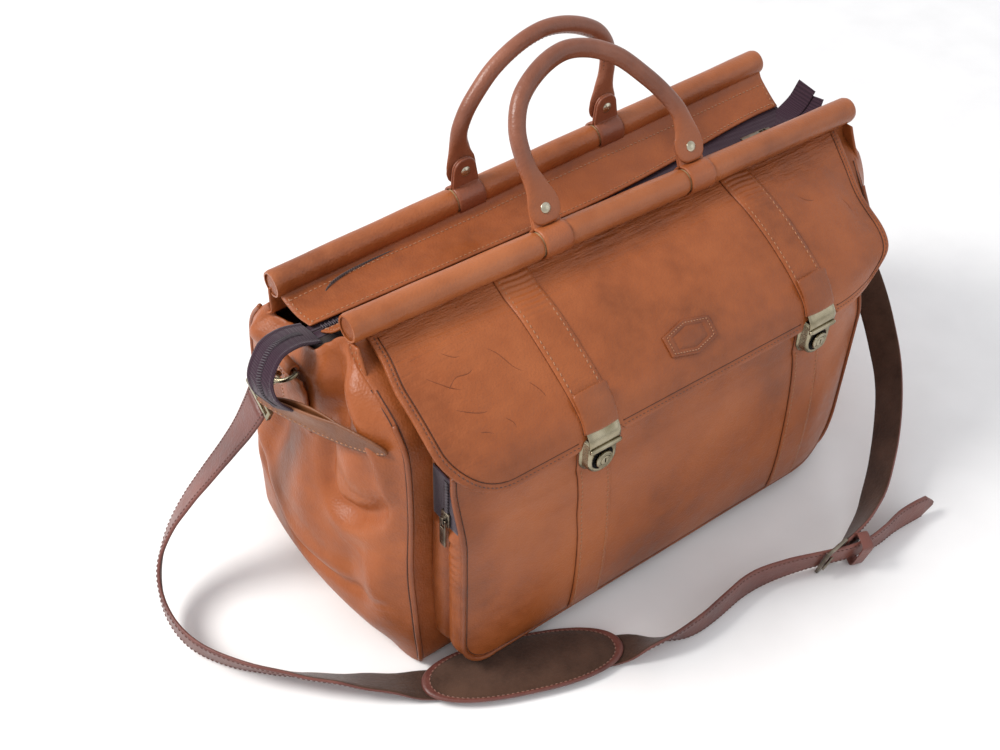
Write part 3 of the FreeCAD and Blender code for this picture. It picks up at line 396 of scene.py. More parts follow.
def smooth_line(points, count):
    """Smooth line through the points, in even steps."""
    p = np.array(points, float)
    p = np.vstack([2 * p[0] - p[1], p, 2 * p[-1] - p[-2]])
    t = np.linspace(0, 1, 16, endpoint=False)[:, None]
    parts = []
    for a, b, c, d in zip(p, p[1:], p[2:], p[3:]):
        bend, twist = 2 * a - 5 * b + 4 * c - d, 3 * b - a - 3 * c + d
        parts.append(0.5 * (2 * b + (c - a) * t + bend * t ** 2 + twist * t ** 3))
    parts.append(p[-2][None])
    return even_steps(np.vstack(parts), count)


def soft_step(x, low, high):
    t = np.clip((np.asarray(x, float) - low) / (high - low), 0, 1)
    return t * t * (3 - 2 * t)


def fold(a, b, line, width, height):
    """Ridge (or valley) of a surface along a line in its flat coordinates, fading to the line's ends."""
    line = smooth_line(line, 110)
    best = np.full(np.shape(a), 1e9)
    share = np.zeros(np.shape(a))
    for i, (la, lb) in enumerate(line):
        far = np.hypot(a - la, b - lb)
        near = far < best
        best = np.where(near, far, best)
        share = np.where(near, i / (len(line) - 1), share)
    taper = np.clip(np.sin(np.pi * np.clip(share, 0.04, 0.96)), 0, 1) ** 0.5
    return height * taper * np.exp(-(best / width) ** 2)


def folds(a, b, rows):
    """Height of several folds together: each row is a line, a width and a height."""
    return sum(fold(a, b, *row) for row in rows)


def ring_faces(rows, cols, wrap):
    faces = []
    for r in range(rows - 1):
        for c in range(cols if wrap else cols - 1):
            d = (c + 1) % cols
            faces.append((r * cols + c, r * cols + d, (r + 1) * cols + d, (r + 1) * cols + c))
    return faces


def slouch(points):
    """The right end sags back and inward, most at the pocket; the left end and the back belly out."""
    points = np.array(points, float)
    share = soft_step(points[:, 0], 0.132, 0.25) * soft_step(-points[:, 1], 0.035, 0.115)
    share = share * (1 - 0.35 * soft_step(points[:, 2], 0.19, 0.225))
    points[:, 0] -= SAG_IN * share
    points[:, 1] += SAG_BACK * share
    belly = soft_step(points[:, 2], 0.0, 0.04) * (1 - soft_step(points[:, 2], 0.085, 0.17))
    belly = belly * soft_step(-points[:, 0], 0.19, 0.25)
    belly = belly * (1 - soft_step(np.abs(points[:, 1] + 0.005), 0.075, 0.125))
    points[:, 0] -= END_BELLY * belly
    back = points[:, 1] > 0.05
    if back.any():
        x, z = points[back, 0] / MM, points[back, 2] / MM
        sag = BACK_BELLY / MM * soft_step(z, 6, 75) * (1 - soft_step(z, 115, 210))
        sag = sag * (1 - np.clip(np.abs(x) / 262, 0, 1) ** 4)
        sag = sag + folds(x, z, BACK_FOLDS)
        points[back, 1] += sag * soft_step(points[back, 1], 0.05, 0.08) * MM
    return points


def make(name, verts, faces, materials, body, replaces=(), slot=None, picks=None, attributes=None, bend=None):
    """New piece from plain mesh data, with outward faces, riding on its body, or left unattached in world
    space when bend is set.
    """
    if name.startswith(SAGGING):
        verts = slouch(verts)
    mesh = bpy.data.meshes.new(name)
    mesh.from_pydata([tuple(v) for v in np.asarray(verts, float)], [],
                     [tuple(int(i) for i in f) for f in faces])
    for mat in materials if isinstance(materials, (list, tuple)) else [materials]:
        mesh.materials.append(mat)
    if picks is not None:
        mesh.polygons.foreach_set("material_index", np.asarray(picks, np.int32))
    if attributes is not None:
        layer = mesh.attributes.new("crease", "FLOAT", "POINT")
        layer.data.foreach_set("value", np.asarray(attributes, np.float32))
    outward = bmesh.new()
    outward.from_mesh(mesh)
    bmesh.ops.recalc_face_normals(outward, faces=outward.faces)
    outward.to_mesh(mesh)
    outward.free()
    mesh.polygons.foreach_set("use_smooth", [True] * len(mesh.polygons))
    obj = bpy.data.objects.new(name, mesh)
    bpy.context.scene.collection.objects.link(obj)
    if bend:
        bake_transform(obj)
    else:
        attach(obj, body)
    if replaces:
        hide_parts(*replaces)
    return obj


class Skin:
    """Leather surface: a function from two flat coordinates to a point, and which side is out."""

    def __init__(self, at, out):
        self.at, self.out = at, out

    def normal(self, a, b):
        step = 0.0004
        along = self.at(a + step, b) - self.at(a - step, b)
        up = self.at(a, b + step) - self.at(a, b - step)
        return self.out * unit(np.cross(along, up))

    def lifted(self, a, b, lift):
        a, b = np.broadcast_arrays(np.asarray(a, float), np.asarray(b, float))
        return self.at(a, b) + self.normal(a, b) * np.asarray(lift)[..., None]


def shell(points, normals, thickness):
    """Closed sheet: the outer grid, the same grid one thickness in, and a rounded rim between."""
    rows, cols = points.shape[:2]
    inner = points - normals * thickness
    loop = [(0, c) for c in range(cols)] + [(r, cols - 1) for r in range(1, rows)]
    loop += [(rows - 1, c) for c in range(cols - 2, -1, -1)] + [(r, 0) for r in range(rows - 2, 0, -1)]
    at = np.array(loop)
    near = np.stack([np.clip(at[:, 0], 1, rows - 2), np.clip(at[:, 1], 1, cols - 2)], 1)
    edge, inside = points[at[:, 0], at[:, 1]], points[near[:, 0], near[:, 1]]
    up = normals[at[:, 0], at[:, 1]]
    out = edge - inside
    out = unit(out - up * np.sum(out * up, axis=1, keepdims=True))
    rim = edge - up * thickness / 2 + out * thickness * 0.4
    verts = np.vstack([points.reshape(-1, 3), inner.reshape(-1, 3), rim])
    total = rows * cols
    faces = ring_faces(rows, cols, False)
    faces += [tuple(i + total for i in reversed(f)) for f in faces]
    for k in range(len(loop)):
        m = (k + 1) % len(loop)
        i, j = loop[k][0] * cols + loop[k][1], loop[m][0] * cols + loop[m][1]
        faces.append((i, j, 2 * total + m, 2 * total + k))
        faces.append((2 * total + k, 2 * total + m, total + j, total + i))
    return verts, faces


def patch(name, skin, a, b, lift, thickness, materials, body, **more):
    """Leather piece lying on a skin, over grids of flat coordinates."""
    outer = skin.lifted(a, b, np.broadcast_to(lift + thickness, a.shape))
    verts, faces = shell(outer, skin.normal(a, b), thickness)
    return make(name, verts, faces, materials, body, **more)


def frames_of(points, ups):
    along = unit(np.gradient(points, axis=0))
    side = unit(np.cross(along, facing(ups, points)))
    return along, side, unit(np.cross(side, along))


def sweep(points, ups, profile):
    """Closed sweep of a profile (side, up) along points; one profile, or one for each point."""
    points = np.asarray(points, float)
    _, side, up = frames_of(points, ups)
    profile = np.broadcast_to(profile, (len(points),) + np.shape(profile)[-2:])
    verts = points[:, None] + side[:, None] * profile[..., :1] + up[:, None] * profile[..., 1:]
    rows, cols = verts.shape[:2]
    faces = ring_faces(rows, cols, True)
    faces.append(tuple(range(cols)))
    faces.append(tuple(range((rows - 1) * cols, rows * cols)))
    return verts.reshape(-1, 3), faces


def round_profile(radius, count=14):
    a = np.linspace(0, 2 * np.pi, count, endpoint=False)
    return np.stack([radius * np.cos(a), radius * np.sin(a)], 1)


def squared(wave, power):
    """A sine or cosine flattened toward a square one."""
    return np.sign(wave) * np.abs(wave) ** power


def capped(rings):
    """Closed body from rings of points, with a face at each end."""
    count = len(rings[0])
    last = (len(rings) - 1) * count
    faces = ring_faces(len(rings), count, True)
    return np.vstack(rings), faces + [tuple(range(count)), tuple(range(last, last + count))]


def flat_profile(half_w, half_t, count=20, square=0.32):
    """Flat section with rounded edges, right edge first and anticlockwise."""
    a = np.linspace(0, 2 * np.pi, count, endpoint=False)
    c, s = np.cos(a), np.sin(a)
    return np.stack([half_w * squared(c, square), half_t * squared(s, square)], 1)


def merged(parts):
    verts, faces, base = [], [], 0
    for v, f in parts:
        verts.append(np.asarray(v))
        faces += [tuple(i + base for i in face) for face in f]
        base += len(v)
    return np.vstack(verts), faces


def stitch_mesh(lines, pitch=4.2 * MM, length=2.9 * MM, width=1.1 * MM, proud=0.5 * MM):
    """Rows of saddle stitches: each line is (points, normals)."""
    parts = []
    ring = np.array([(-0.5, 0.0), (0.0, 1.0), (0.5, 0.0), (0.0, -1.0)])
    for points, normals in lines:
        both = np.hstack([points, normals])
        run = np.linalg.norm(np.diff(points, axis=0), axis=1).sum()
        count = max(2, int(run / pitch))
        both = even_steps(both, count, 3)
        at, up = both[:, :3], unit(both[:, 3:])
        along, side, up = frames_of(at, up)
        along = unit(along + 0.16 * side)
        for p, t, s, n in zip(at, along, side, up):
            rows = [p - t * length / 2 - n * proud * 0.6]
            for shift in (-0.32, 0.32):
                for w, h in ring:
                    rows.append(p + t * length * shift + s * w * width + n * proud * h)
            rows.append(p + t * length / 2 - n * proud * 0.6)
            faces = [(0, 1 + (k + 1) % 4, 1 + k) for k in range(4)]
            faces += [(1 + k, 1 + (k + 1) % 4, 5 + (k + 1) % 4, 5 + k) for k in range(4)]
            faces += [(9, 5 + k, 5 + (k + 1) % 4) for k in range(4)]
            parts.append((np.array(rows), faces))
    return merged(parts)


def stitches(name, lines, body, bend=None, mat=None, **more):
    verts, faces = stitch_mesh(lines, **more)
    make(name, verts, faces, mat or THREAD, body, bend=bend)


def dark_line(name, lines, body, bend=None, radius=0.42 * MM, mat=None):
    """Thin dark line along leather: a strip's painted edge with painted shade at its foot, or painted shade
    in a pressed groove or along a seam.
    """
    parts = [sweep(line, (0.13, 0.3, 1), round_profile(radius, 6)) for line in lines]
    make(name, *merged(parts), mat or EDGE_PAINT_AND_SHADE, body, bend=bend)


def on_skin(skin, flat, lift=0.0):
    """Line on a skin with its normals, from flat coordinates."""
    flat = np.asarray(flat, float)
    return skin.lifted(flat[:, 0], flat[:, 1], np.full(len(flat), lift)), skin.normal(flat[:, 0], flat[:, 1])


def polyline(points, step=2.0 * MM):
    points = np.asarray(points, float)
    run = np.linalg.norm(np.diff(points, axis=0), axis=1).sum()
    return even_steps(points, max(3, int(run / step)))


# Cords: the two lengths of the shoulder strap

def route_line(name, route):
    curve = bpy.data.curves.new(name, "CURVE")
    curve.dimensions = "3D"
    spline = curve.splines.new("NURBS")
    spline.points.add(len(route) - 1)
    for point, (at, _) in zip(spline.points, route):
        point.co = (at[0] * MM, at[1] * MM, at[2] * MM, 1)
    spline.order_u = 3
    spline.use_endpoint_u = True
    spline.resolution_u = 6
    holder = bpy.data.objects.new(name, curve)
    bpy.context.scene.collection.objects.link(holder)
    mesh = bpy.data.meshes.new_from_object(holder)
    line = np.array([v.co for v in mesh.vertices], float)
    bpy.data.objects.remove(holder)
    return line


def strap_widths(line, route):
    """Width direction at each point of the line, easing from one route point's to the next."""
    at = np.array([p for p, _ in route], float) * MM
    ways = unit(np.array([w for _, w in route], float))
    share = np.exp(-(np.linalg.norm(line[:, None] - at[None], axis=2) / (22 * MM)) ** 2)
    return unit((share / share.sum(1, keepdims=True)) @ ways)


def strap(name, route, tip, node):
    """Flat strap on its route, leather above and suede below, pointed at the far end if it has a tip."""
    line = route_line(name + "_line", route)
    wide = strap_widths(line, route)
    along = unit(np.gradient(line, axis=0))
    up = unit(np.cross(along, wide))
    half = np.full(len(line), STRAP_W / 2)
    if tip:
        run = run_of(line)
        left = np.clip((run[-1] - run) / (17 * MM), 0, 1)
        half = half * (0.18 + 0.82 * np.sqrt(1 - (1 - left) ** 2))
    profile = flat_profile(1.0, STRAP_T / 2, 24, 0.3)[None] * np.stack([half, np.ones_like(half)], 1)[:, None]
    profile[..., 1] *= 1 - 0.22 * np.abs(profile[..., :1] / (STRAP_W / 2))[..., 0] ** 8
    verts, faces = sweep(line, up, profile)
    heights = np.tile(profile[0, :, 1], len(line))
    picks = []
    for face in faces:
        level = np.mean([heights[i] for i in face])
        picks.append(1 if level < -0.25 * STRAP_T else 0)
    obj = make(name, verts, faces, [STRAP_LEATHER, SUEDE], BAG, replaces=[node], slot="leather_strap",
               picks=picks)
    rows = []
    for side in (-1, 1):
        edge = line + unit(np.cross(along, up)) * side * (half - 2.6 * MM)[:, None]
        keep = half > 9 * MM
        rows.append(((edge + up * (STRAP_T / 2))[keep], up[keep]))
    stitches(name + "_stitches", rows, BAG, mat=STRAP_THREAD, pitch=4.0 * MM, length=2.8 * MM)


# Flap and what is sewn on it

FLAP_PROFILE = smooth_line(np.array(FLAP_LINE) * MM, 120)
FLAP_RUN = run_of(FLAP_PROFILE) + FLAP_LOW
FLAP_S = FLAP_RUN[-1]


def flap_at(x, s):
    y, z = at_run(s, FLAP_RUN, FLAP_PROFILE)
    ny, nz = -0.55, 0.83
    wave = 1.6 * np.sin(x * 19 + 0.6) * np.sin(np.pi * np.clip(s / FLAP_S, 0, 1)) ** 2
    crown = 2.0 * np.sin(np.pi * np.clip(s / FLAP_S, 0, 1)) * np.cos(x / FLAP_HALF * 1.4)
    hollow = folds(x, s, [([(-0.235, 0.125), (-0.12, 0.118), (0.02, 0.112), (0.10, 0.12)], 0.016, -2.2),
                          ([(0.15, 0.118), (0.20, 0.108), (0.235, 0.10)], 0.014, -2.4)])
    rise = (wave + crown + hollow) * MM * soft_step(FLAP_S - s, 0, 0.02)
    end = soft_step(np.abs(x), 0.195, 0.24) * soft_step(s, 0.0, 0.05) * soft_step(FLAP_S - s, 0.0, 0.05)
    return np.stack([x, y + ny * rise + 0.001 * end, z + nz * rise - 0.004 * end], -1)


FLAP = Skin(flap_at, 1)


def flap_half(s):
    corner = np.clip(s - FLAP_LOW, 0, FLAP_CORNER)
    low = FLAP_HALF - FLAP_CORNER + np.sqrt(FLAP_CORNER ** 2 - (FLAP_CORNER - corner) ** 2)
    return low - 4 * MM * soft_step(s, FLAP_S - 0.05, FLAP_S - 0.015)


def flap_rim(a, s):
    """Rolled edge: raised along the outline, with a pressed groove inside it."""
    side = flap_half(s) - np.abs(a)
    corner = FLAP_CORNER - np.hypot(np.abs(a) - (FLAP_HALF - FLAP_CORNER), s - FLAP_LOW - FLAP_CORNER)
    in_corner = (np.abs(a) > FLAP_HALF - FLAP_CORNER) & (s - FLAP_LOW < FLAP_CORNER)
    far = np.where(in_corner, corner, np.minimum(side, s - FLAP_LOW)) / MM
    raised = 0.85 * (1 - soft_step(far, 4.8, 6.4)) - 0.5 * (1 - soft_step(far, 0.0, 2.0))
    pressed = 0.55 * np.exp(-((far - 3.7) / 0.8) ** 2) + 0.5 * np.exp(-((far - 6.6) / 0.8) ** 2)
    return (raised - pressed) * MM


VEINS = [[(-0.222, 0.097), (-0.213, 0.085), (-0.203, 0.074), (-0.191, 0.066)],
         [(-0.216, 0.066), (-0.206, 0.057), (-0.194, 0.050), (-0.181, 0.049)],
         [(-0.206, 0.075), (-0.197, 0.080), (-0.187, 0.079), (-0.177, 0.083)],
         [(-0.172, 0.098), (-0.160, 0.084), (-0.153, 0.068), (-0.141, 0.057)],
         [(-0.200, 0.104), (-0.190, 0.094), (-0.181, 0.093)],
         [(-0.153, 0.060), (-0.145, 0.046), (-0.143, 0.034)],
         [(-0.184, 0.044), (-0.176, 0.034), (-0.178, 0.026)],
         [(-0.207, 0.040), (-0.197, 0.036), (-0.190, 0.030)],
         [(0.150, 0.098), (0.161, 0.086), (0.176, 0.080)], [(0.205, 0.074), (0.214, 0.062), (0.213, 0.048)]]


def vein(a, s):
    """Shallow natural creases, mostly near the left end of the flap."""
    return folds(a, s, [(line, 0.0034, -0.6) for line in VEINS]) * MM


def vein_lines():
    """Painted shade along the bottom of each crease: a dark line sinking into the leather at both ends."""
    lines = []
    for vein_path in VEINS:
        flat = smooth_line(vein_path, 40)
        sunk = -0.46 - 0.34 * np.abs(np.linspace(-1, 1, 40)) ** 2
        lines.append(FLAP.lifted(flat[:, 0], flat[:, 1], (sunk - 0.18) * MM))
    return lines


def flap_inset(inset):
    """Lines a little inside the flap's edge, broken where the strips cross it."""
    radius = FLAP_CORNER - inset
    down = [(-(float(flap_half(v)) - inset), float(v))
            for v in np.linspace(FLAP_S - 0.006, FLAP_LOW + FLAP_CORNER, 40)]
    corner = [(-(FLAP_HALF - FLAP_CORNER) - radius * math.cos(t),
               FLAP_LOW + FLAP_CORNER - radius * math.sin(t))
              for t in np.linspace(0, math.pi / 2, 20)[1:]]
    half = down + corner
    path = polyline(half + [(-a, b) for a, b in half[::-1]])
    path = path[np.abs(np.abs(path[:, 0]) - STRIP_X) > 21 * MM]
    breaks = np.nonzero(np.linalg.norm(np.diff(path, axis=0), axis=1) > 0.01)[0] + 1
    return np.split(path, breaks)


def flap():
    turn = np.linspace(0, np.pi / 2, 20)
    s = FLAP_LOW + np.r_[FLAP_CORNER * (1 - np.cos(turn)),
                         np.linspace(FLAP_CORNER, FLAP_S - FLAP_LOW, 96)[1:]]
    side = np.linspace(0.935, 1, 22)
    u = np.r_[-side[::-1], np.linspace(-0.935, 0.935, 250)[1:-1], side]
    b = np.repeat(s[:, None], len(u), 1)
    a = flap_half(b) * u[None]
    notch = 7.5 * MM * sum(np.exp(-((a - x) / (19 * MM)) ** 10) for x in (-STRIP_X, STRIP_X))
    b = b + notch * np.clip(1 - (b - FLAP_LOW) / (24 * MM), 0, 1)
    outer = FLAP.lifted(a, b, flap_rim(a, b) * (notch < 3 * MM) + vein(a, b))
    verts, faces = shell(outer, FLAP.normal(a, b), LEATHER_T)
    near_bar = soft_step(b, FLAP_S - 0.052, FLAP_S - 0.014) + 0.25 * soft_step(np.abs(a), 0.15, 0.23)
    crease = np.r_[near_bar.ravel(), near_bar.ravel()]
    crease = np.r_[crease, np.zeros(len(verts) - len(crease))]
    obj = make("flap_leather", verts, faces, TAN_CREASED, "flap", replaces=["flap", "flap_root"],
               slot="leather_tan", attributes=crease, bend=True)
    # Painted shade: a dark line in the pressed groove inside the flap's edge
    grooves = [on_skin(FLAP, part, -0.12 * MM)[0] for part in flap_inset(6.7 * MM)]
    dark_line("flap_groove_shade", grooves, "flap", bend=True, radius=0.32 * MM)
    rows = [on_skin(FLAP, part, 0.45 * MM) for part in flap_inset(3.7 * MM)]
    stitches("flap_edge_stitches", rows, "flap", bend=True, mat=DARK_THREAD, pitch=3.5 * MM,
             length=2.7 * MM, width=1.0 * MM, proud=0.35 * MM)
    # Painted shade in the flap's creases, as thin dark lines
    dark_line("flap_vein_shade", vein_lines(), "flap", bend=True, radius=0.34 * MM, mat=VEIN_SHADE)
    for k, x in enumerate((-STRIP_X, STRIP_X)):
        us, vs = np.linspace(-1, 1, 13), np.linspace(0.002, FLAP_S - 0.001, 150)
        b, u = grid_of(vs, us)
        a = x + u * STRIP_HALF
        gather = soft_step(b, FLAP_S - 0.050, FLAP_S - 0.030) * (1 - u ** 4)
        pucker = 1.1 * MM * np.abs(np.sin(b / (4.6 * MM) * np.pi + 0.5 * np.sin(a * 160))) ** 0.7 * gather
        outer = FLAP.lifted(a, b, 1.25 * MM + 0.35 * MM * np.cos(u * 1.3) + pucker)
        verts, faces = shell(outer, FLAP.normal(a, b), 1.4 * MM)
        name = "flap_strip_" + ("left", "right")[k]
        make(name, verts, faces, TAN, "flap", replaces=["flap_strips"], slot="leather_tan", bend=True)
        # Dark lines along both sides of the strip: its painted edge, and painted shade at its foot
        foot = [on_skin(FLAP, [(x + side * (STRIP_HALF + 0.3 * MM), v) for v in vs], 0.2 * MM)[0]
                for side in (-1, 1)]
        dark_line(name + "_edge", foot, "flap", bend=True)
        rows = []
        for side in (-1, 1):
            flat = [(x + side * (STRIP_HALF - 2.8 * MM), v) for v in np.linspace(0.026, FLAP_S - 0.006, 60)]
            rows.append(on_skin(FLAP, flat, 1.6 * MM))
        stitches(name + "_stitches", rows, "flap", bend=True)


def badge():
    """Blank sewn badge: a long hexagon with a rolled edge, a stitched border and a pressed frame."""
    centre = (-13 * MM, float(np.interp(-0.1365, FLAP_PROFILE[:, 0], FLAP_RUN)))
    corners = np.array([(23, 8.2), (0, 14), (-23, 8.2), (-23, -8.2), (0, -14), (23, -8.2), (23, 8.2)]) * MM
    outline = even_steps(corners, 145)[:-1]
    rings = []
    for share, lift in ((1.0, 0.0), (1.0, 1.2), (0.97, 1.7), (0.9, 1.7), (0.86, 1.35), (0.8, 1.6),
                        (0.68, 1.6), (0.65, 1.1), (0.61, 1.1), (0.58, 1.5), (0.3, 1.6), (0.02, 1.6)):
        a, b = centre[0] + outline[:, 0] * share, centre[1] + outline[:, 1] * share
        rings.append(FLAP.lifted(a, b, np.full(len(a), lift * MM)))
    make("badge_leather", *capped(rings), TAN_DARK, "flap", replaces=["badge"], slot="leather_tan")
    border = polyline(corners * (0.86, 0.8))
    stitches("badge_stitches", [on_skin(FLAP, border + centre, 1.7 * MM)], "flap", pitch=2.6 * MM,
             length=1.8 * MM, width=0.8 * MM)


# Body shell

FRONT_PROFILE = smooth_line(np.array(FRONT_LINE) * MM, 160)
REAR_PROFILE = smooth_line(np.array(REAR_LINE) * MM, 160)
FRONT_RUN = run_of(FRONT_PROFILE)
REAR_RUN = run_of(REAR_PROFILE)


def front_at(x, s):
    y, z = at_run(s, FRONT_RUN, FRONT_PROFILE)
    return np.stack([x, y, z], -1)


def rear_at(x, s):
    y, z = at_run(s, REAR_RUN, REAR_PROFILE)
    share = np.clip(s / REAR_RUN[-1], 0, 1)
    swell = (5 * np.sin(np.pi * np.clip(share * 1.15, 0, 1)) * np.cos(x / END_X * 1.35)
             + fold(x, s, [(-0.2, 0.16), (-0.06, 0.13), (0.09, 0.15)], 0.022, -2.5)
             + fold(x, s, [(0.05, 0.07), (0.15, 0.10), (0.23, 0.16)], 0.02, -2.2)) * MM
    lift = x * REAR_TILT * soft_step(share, 0.75, 1.0)
    return np.stack([x, y + swell, z + lift], -1)


FRONT, REAR = Skin(front_at, 1), Skin(rear_at, -1)


def end_top(t):
    return np.interp(t, [0, 0.06, 0.15, 0.25, 0.32, 0.42, 0.52, 0.7, 0.78, 0.86, 0.93, 1],
                     [279, 278, 274, 268, 265, 259, 252, 245, 236, 228, 229, 240]) * MM


def end_at(side, t, v):
    """Point of an end gusset: t from the front seam to the rear seam, v from the base to the top edge."""
    z = np.clip(v, 0, 1) * end_top(t)
    front = np.interp(z, FRONT_PROFILE[:, 1], FRONT_PROFILE[:, 0])
    rear = np.interp(z, REAR_PROFILE[:, 1], REAR_PROFILE[:, 0])
    y = front + t * (rear - front)
    arch = np.sin(np.pi * np.clip(t, 0, 1))
    bulge = END_BULGE * arch ** 0.7
    under = np.clip(1 - z / UNDER_R, 0, 1)
    tuck = UNDER_R * (1 - np.sqrt(np.clip(1 - under ** 2, 0, 1))) * 0.9
    bulge = bulge - tuck * soft_step(t, 0.0, 0.4) * soft_step(1 - t, 0.0, 0.25)
    hills = folds(y / MM, z / MM, END_FOLDS)
    hold = np.clip(arch * 5, 0, 1)
    curl = (soft_step(v, 0.93, 1.0) * 9
            + soft_step(v, 0.90, 1.0) * 12 * np.exp(-((t - 0.85) / 0.1) ** 2)) * MM * hold
    x = END_X + bulge + hills * hold * MM - curl
    return np.stack([side * x, y, z], -1)


def level_rings(outline, levels):
    """Copies of an outline, each scaled about its middle and set to a height in mm."""
    centre = outline.mean(0)
    rings = []
    for share, height in levels:
        ring = centre + (outline - centre) * (share, share, 0)
        ring[:, 2] = height * MM
        rings.append(ring)
    return rings


def body():
    u = np.linspace(-1, 1, 121)
    for name, skin, run, node in (("body_front", FRONT, FRONT_RUN, "front_panel"),
                                  ("body_rear", REAR, REAR_RUN, "rear_panel")):
        b, a = grid_of(np.linspace(0, run[-1], 100), u * END_X)
        verts, faces = shell(skin.at(a, b), skin.normal(a, b), LEATHER_T)
        make(name, verts, faces, TAN, BAG, replaces=[node], slot="leather_tan")
    for k, side in enumerate((-1, 1)):
        v, t = grid_of(np.linspace(0, 1, 150) ** 1.5, np.linspace(0, 1, 130))
        skin = Skin(lambda t, v, side=side: end_at(side, t, v), side)
        points = skin.at(t, v)
        normals = unit(np.cross(np.gradient(points, axis=1), np.gradient(points, axis=0))) * side
        verts, faces = shell(points, normals, LEATHER_T)
        name = ("left", "right")[k]
        make("body_end_" + name, verts, faces, TAN, BAG, replaces=[name + "_gusset"], slot="leather_tan")
        rims = []
        for edge, push in ((0, -1), (1, 1)):
            line = points[:, -edge] + np.array([side * 0.4 * MM, push * 1.2 * MM, 0])
            line = line[(line[:, 2] > 10 * MM) & (line[:, 2] < (0.262 if edge == 0 else 0.238))]
            rims.append(sweep(smooth_line(line[::6], 90), (side, 0, 0), round_profile(2.0 * MM, 10)))
        # Painted shade: two dark lines along the front seam, one on each side of its piping
        seam = points[:, 0][(points[:, 0, 2] > 10 * MM) & (points[:, 0, 2] < 0.262)][::5]
        grooves = [smooth_line(seam + np.array([side * 1.1 * MM, 1.5 * MM, 0]), 90),
                   smooth_line(seam + np.array([-side * 1.9 * MM, -0.8 * MM, 0]), 90)]
        dark_line("body_seam_shade_" + name, grooves, BAG, radius=0.55 * MM)
        make("end_piping_" + name, *merged(rims), TAN_DARK, BAG, replaces=["body_piping"], slot="leather_tan")
    outline = []
    for side in (1, -1):
        rail = end_at(side, np.linspace(0, 1, 30), np.full(30, 0.006))
        outline += list(rail if side > 0 else rail[::-1])
    outline = np.array(outline)
    sole = level_rings(outline, ((0.97, 4.2), (1.0, 3.4), (1.0, 1.6), (0.985, 0.3),
                                 (0.9, 0.0), (0.5, 0.0), (0.05, 0.0)))
    make("base_leather", *capped(sole), TAN_DARK, BAG, replaces=["base_panel"], slot="leather_tan")
    board = level_rings(outline, ((0.02, 4.4), (0.6, 4.4), (0.90, 4.4), (0.905, 4.8),
                                  (0.905, 6.0), (0.90, 6.4), (0.6, 6.4), (0.02, 6.4)))
    make("base_stiffener", *capped(board), BOARD, BAG, replaces=["base_board"], slot="board")


def lining():
    """Dark cloth bag inside the leather, open at the mouth."""
    floor = 7.5 * MM
    turn = np.linspace(0, 2 * np.pi, 220, endpoint=False)
    share = np.linspace(0, 1, 34)
    rings = []
    for s in share:
        c, n = np.cos(turn), np.sin(turn)
        ends = np.abs(c) ** 6
        z = floor + s * (0.260 - 0.012 * ends - floor)
        front = np.interp(z, FRONT_PROFILE[:, 1], FRONT_PROFILE[:, 0]) + 7 * MM
        rear = np.interp(z, REAR_PROFILE[:, 1], REAR_PROFILE[:, 0])
        rear = rear - (6 + 12 * soft_step(z, 0.17, 0.225)) * MM
        x = (END_X - 24 * MM) * squared(c, 0.24)
        y = (front + rear) / 2 + (rear - front) / 2 * squared(n, 0.24)
        slack = 1.6 * MM * np.sin(turn * 23 + 2 * np.sin(turn * 5)) * np.sin(np.pi * s)
        rings.append(np.stack([x - slack * c, y - slack * n, z], 1))
    grid = np.array(rings)
    inward = unit(np.stack([-np.cos(turn), -np.sin(turn), np.zeros_like(turn)], 1))
    verts = np.vstack([grid.reshape(-1, 3), (grid + inward[None] * 1.0 * MM).reshape(-1, 3)])
    count, rows = len(turn), len(share)
    outer = ring_faces(rows, count, True)
    inner = [tuple(i + rows * count for i in face[::-1]) for face in outer]
    top, under = (rows - 1) * count, rows * count
    rim = [(top + k, top + (k + 1) % count, under + top + (k + 1) % count, under + top + k)
           for k in range(count)]
    base = [tuple(range(count))[::-1], tuple(range(under, under + count))]
    make("cloth_lining", verts, outer + inner + rim + base, LINING, BAG, replaces=["lining"],
         slot="lining_cloth")


# Front pocket

def pocket_at(x, z):
    share_x = np.clip(np.abs(x) / POCKET_HALF, 0, 1)
    share_z = np.clip((z - POCKET_LOW) / (0.172 - POCKET_LOW), 0, 1)
    crown = 9 * (1 - share_x ** 7) * np.clip(np.sin(np.pi * share_z ** 0.8), 0, 1) ** 0.55
    hills = folds(x, z, [([(-0.215, 0.168), (-0.18, 0.146), (-0.135, 0.130)], 0.015, -5.0),
                         ([(-0.19, 0.12), (-0.17, 0.08), (-0.175, 0.04)], 0.02, 2.0),
                         ([(0.03, 0.15), (0.06, 0.10), (0.05, 0.05)], 0.03, -2.2),
                         ([(0.14, 0.15), (0.17, 0.10), (0.16, 0.05)], 0.022, -1.8)])
    back = 13 * soft_step(np.abs(x), 0.185, 0.23) * soft_step(z, 0.150, 0.206)
    return np.stack([x, POCKET_Y + (back - crown - hills * (1 - share_x ** 8)) * MM, z], -1)


POCKET = Skin(pocket_at, 1)


def pocket_lift(x, z):
    """Height of the pocket's edge, drawn up under the flap at the two ends."""
    return z + 12 * MM * soft_step(np.abs(x), 0.17, 0.225) * soft_step(z, 0.12, 0.206)


def pocket_outline(inset=0.0):
    """Left top, down, round the lower corners and up to the right top, as (x, z)."""
    radius = POCKET_CORNER - inset
    side = [(-(POCKET_HALF - inset), z)
            for z in np.linspace(POCKET_TOP - 2 * MM, POCKET_LOW + POCKET_CORNER, 30)]
    centre = POCKET_HALF - POCKET_CORNER
    corner = [(-centre - radius * math.cos(t), POCKET_LOW + POCKET_CORNER - radius * math.sin(t))
              for t in np.linspace(0, math.pi / 2, 16)[1:]]
    half = side + corner
    return even_steps(np.array(half + [(-x, z) for x, z in half[::-1]]), 420)


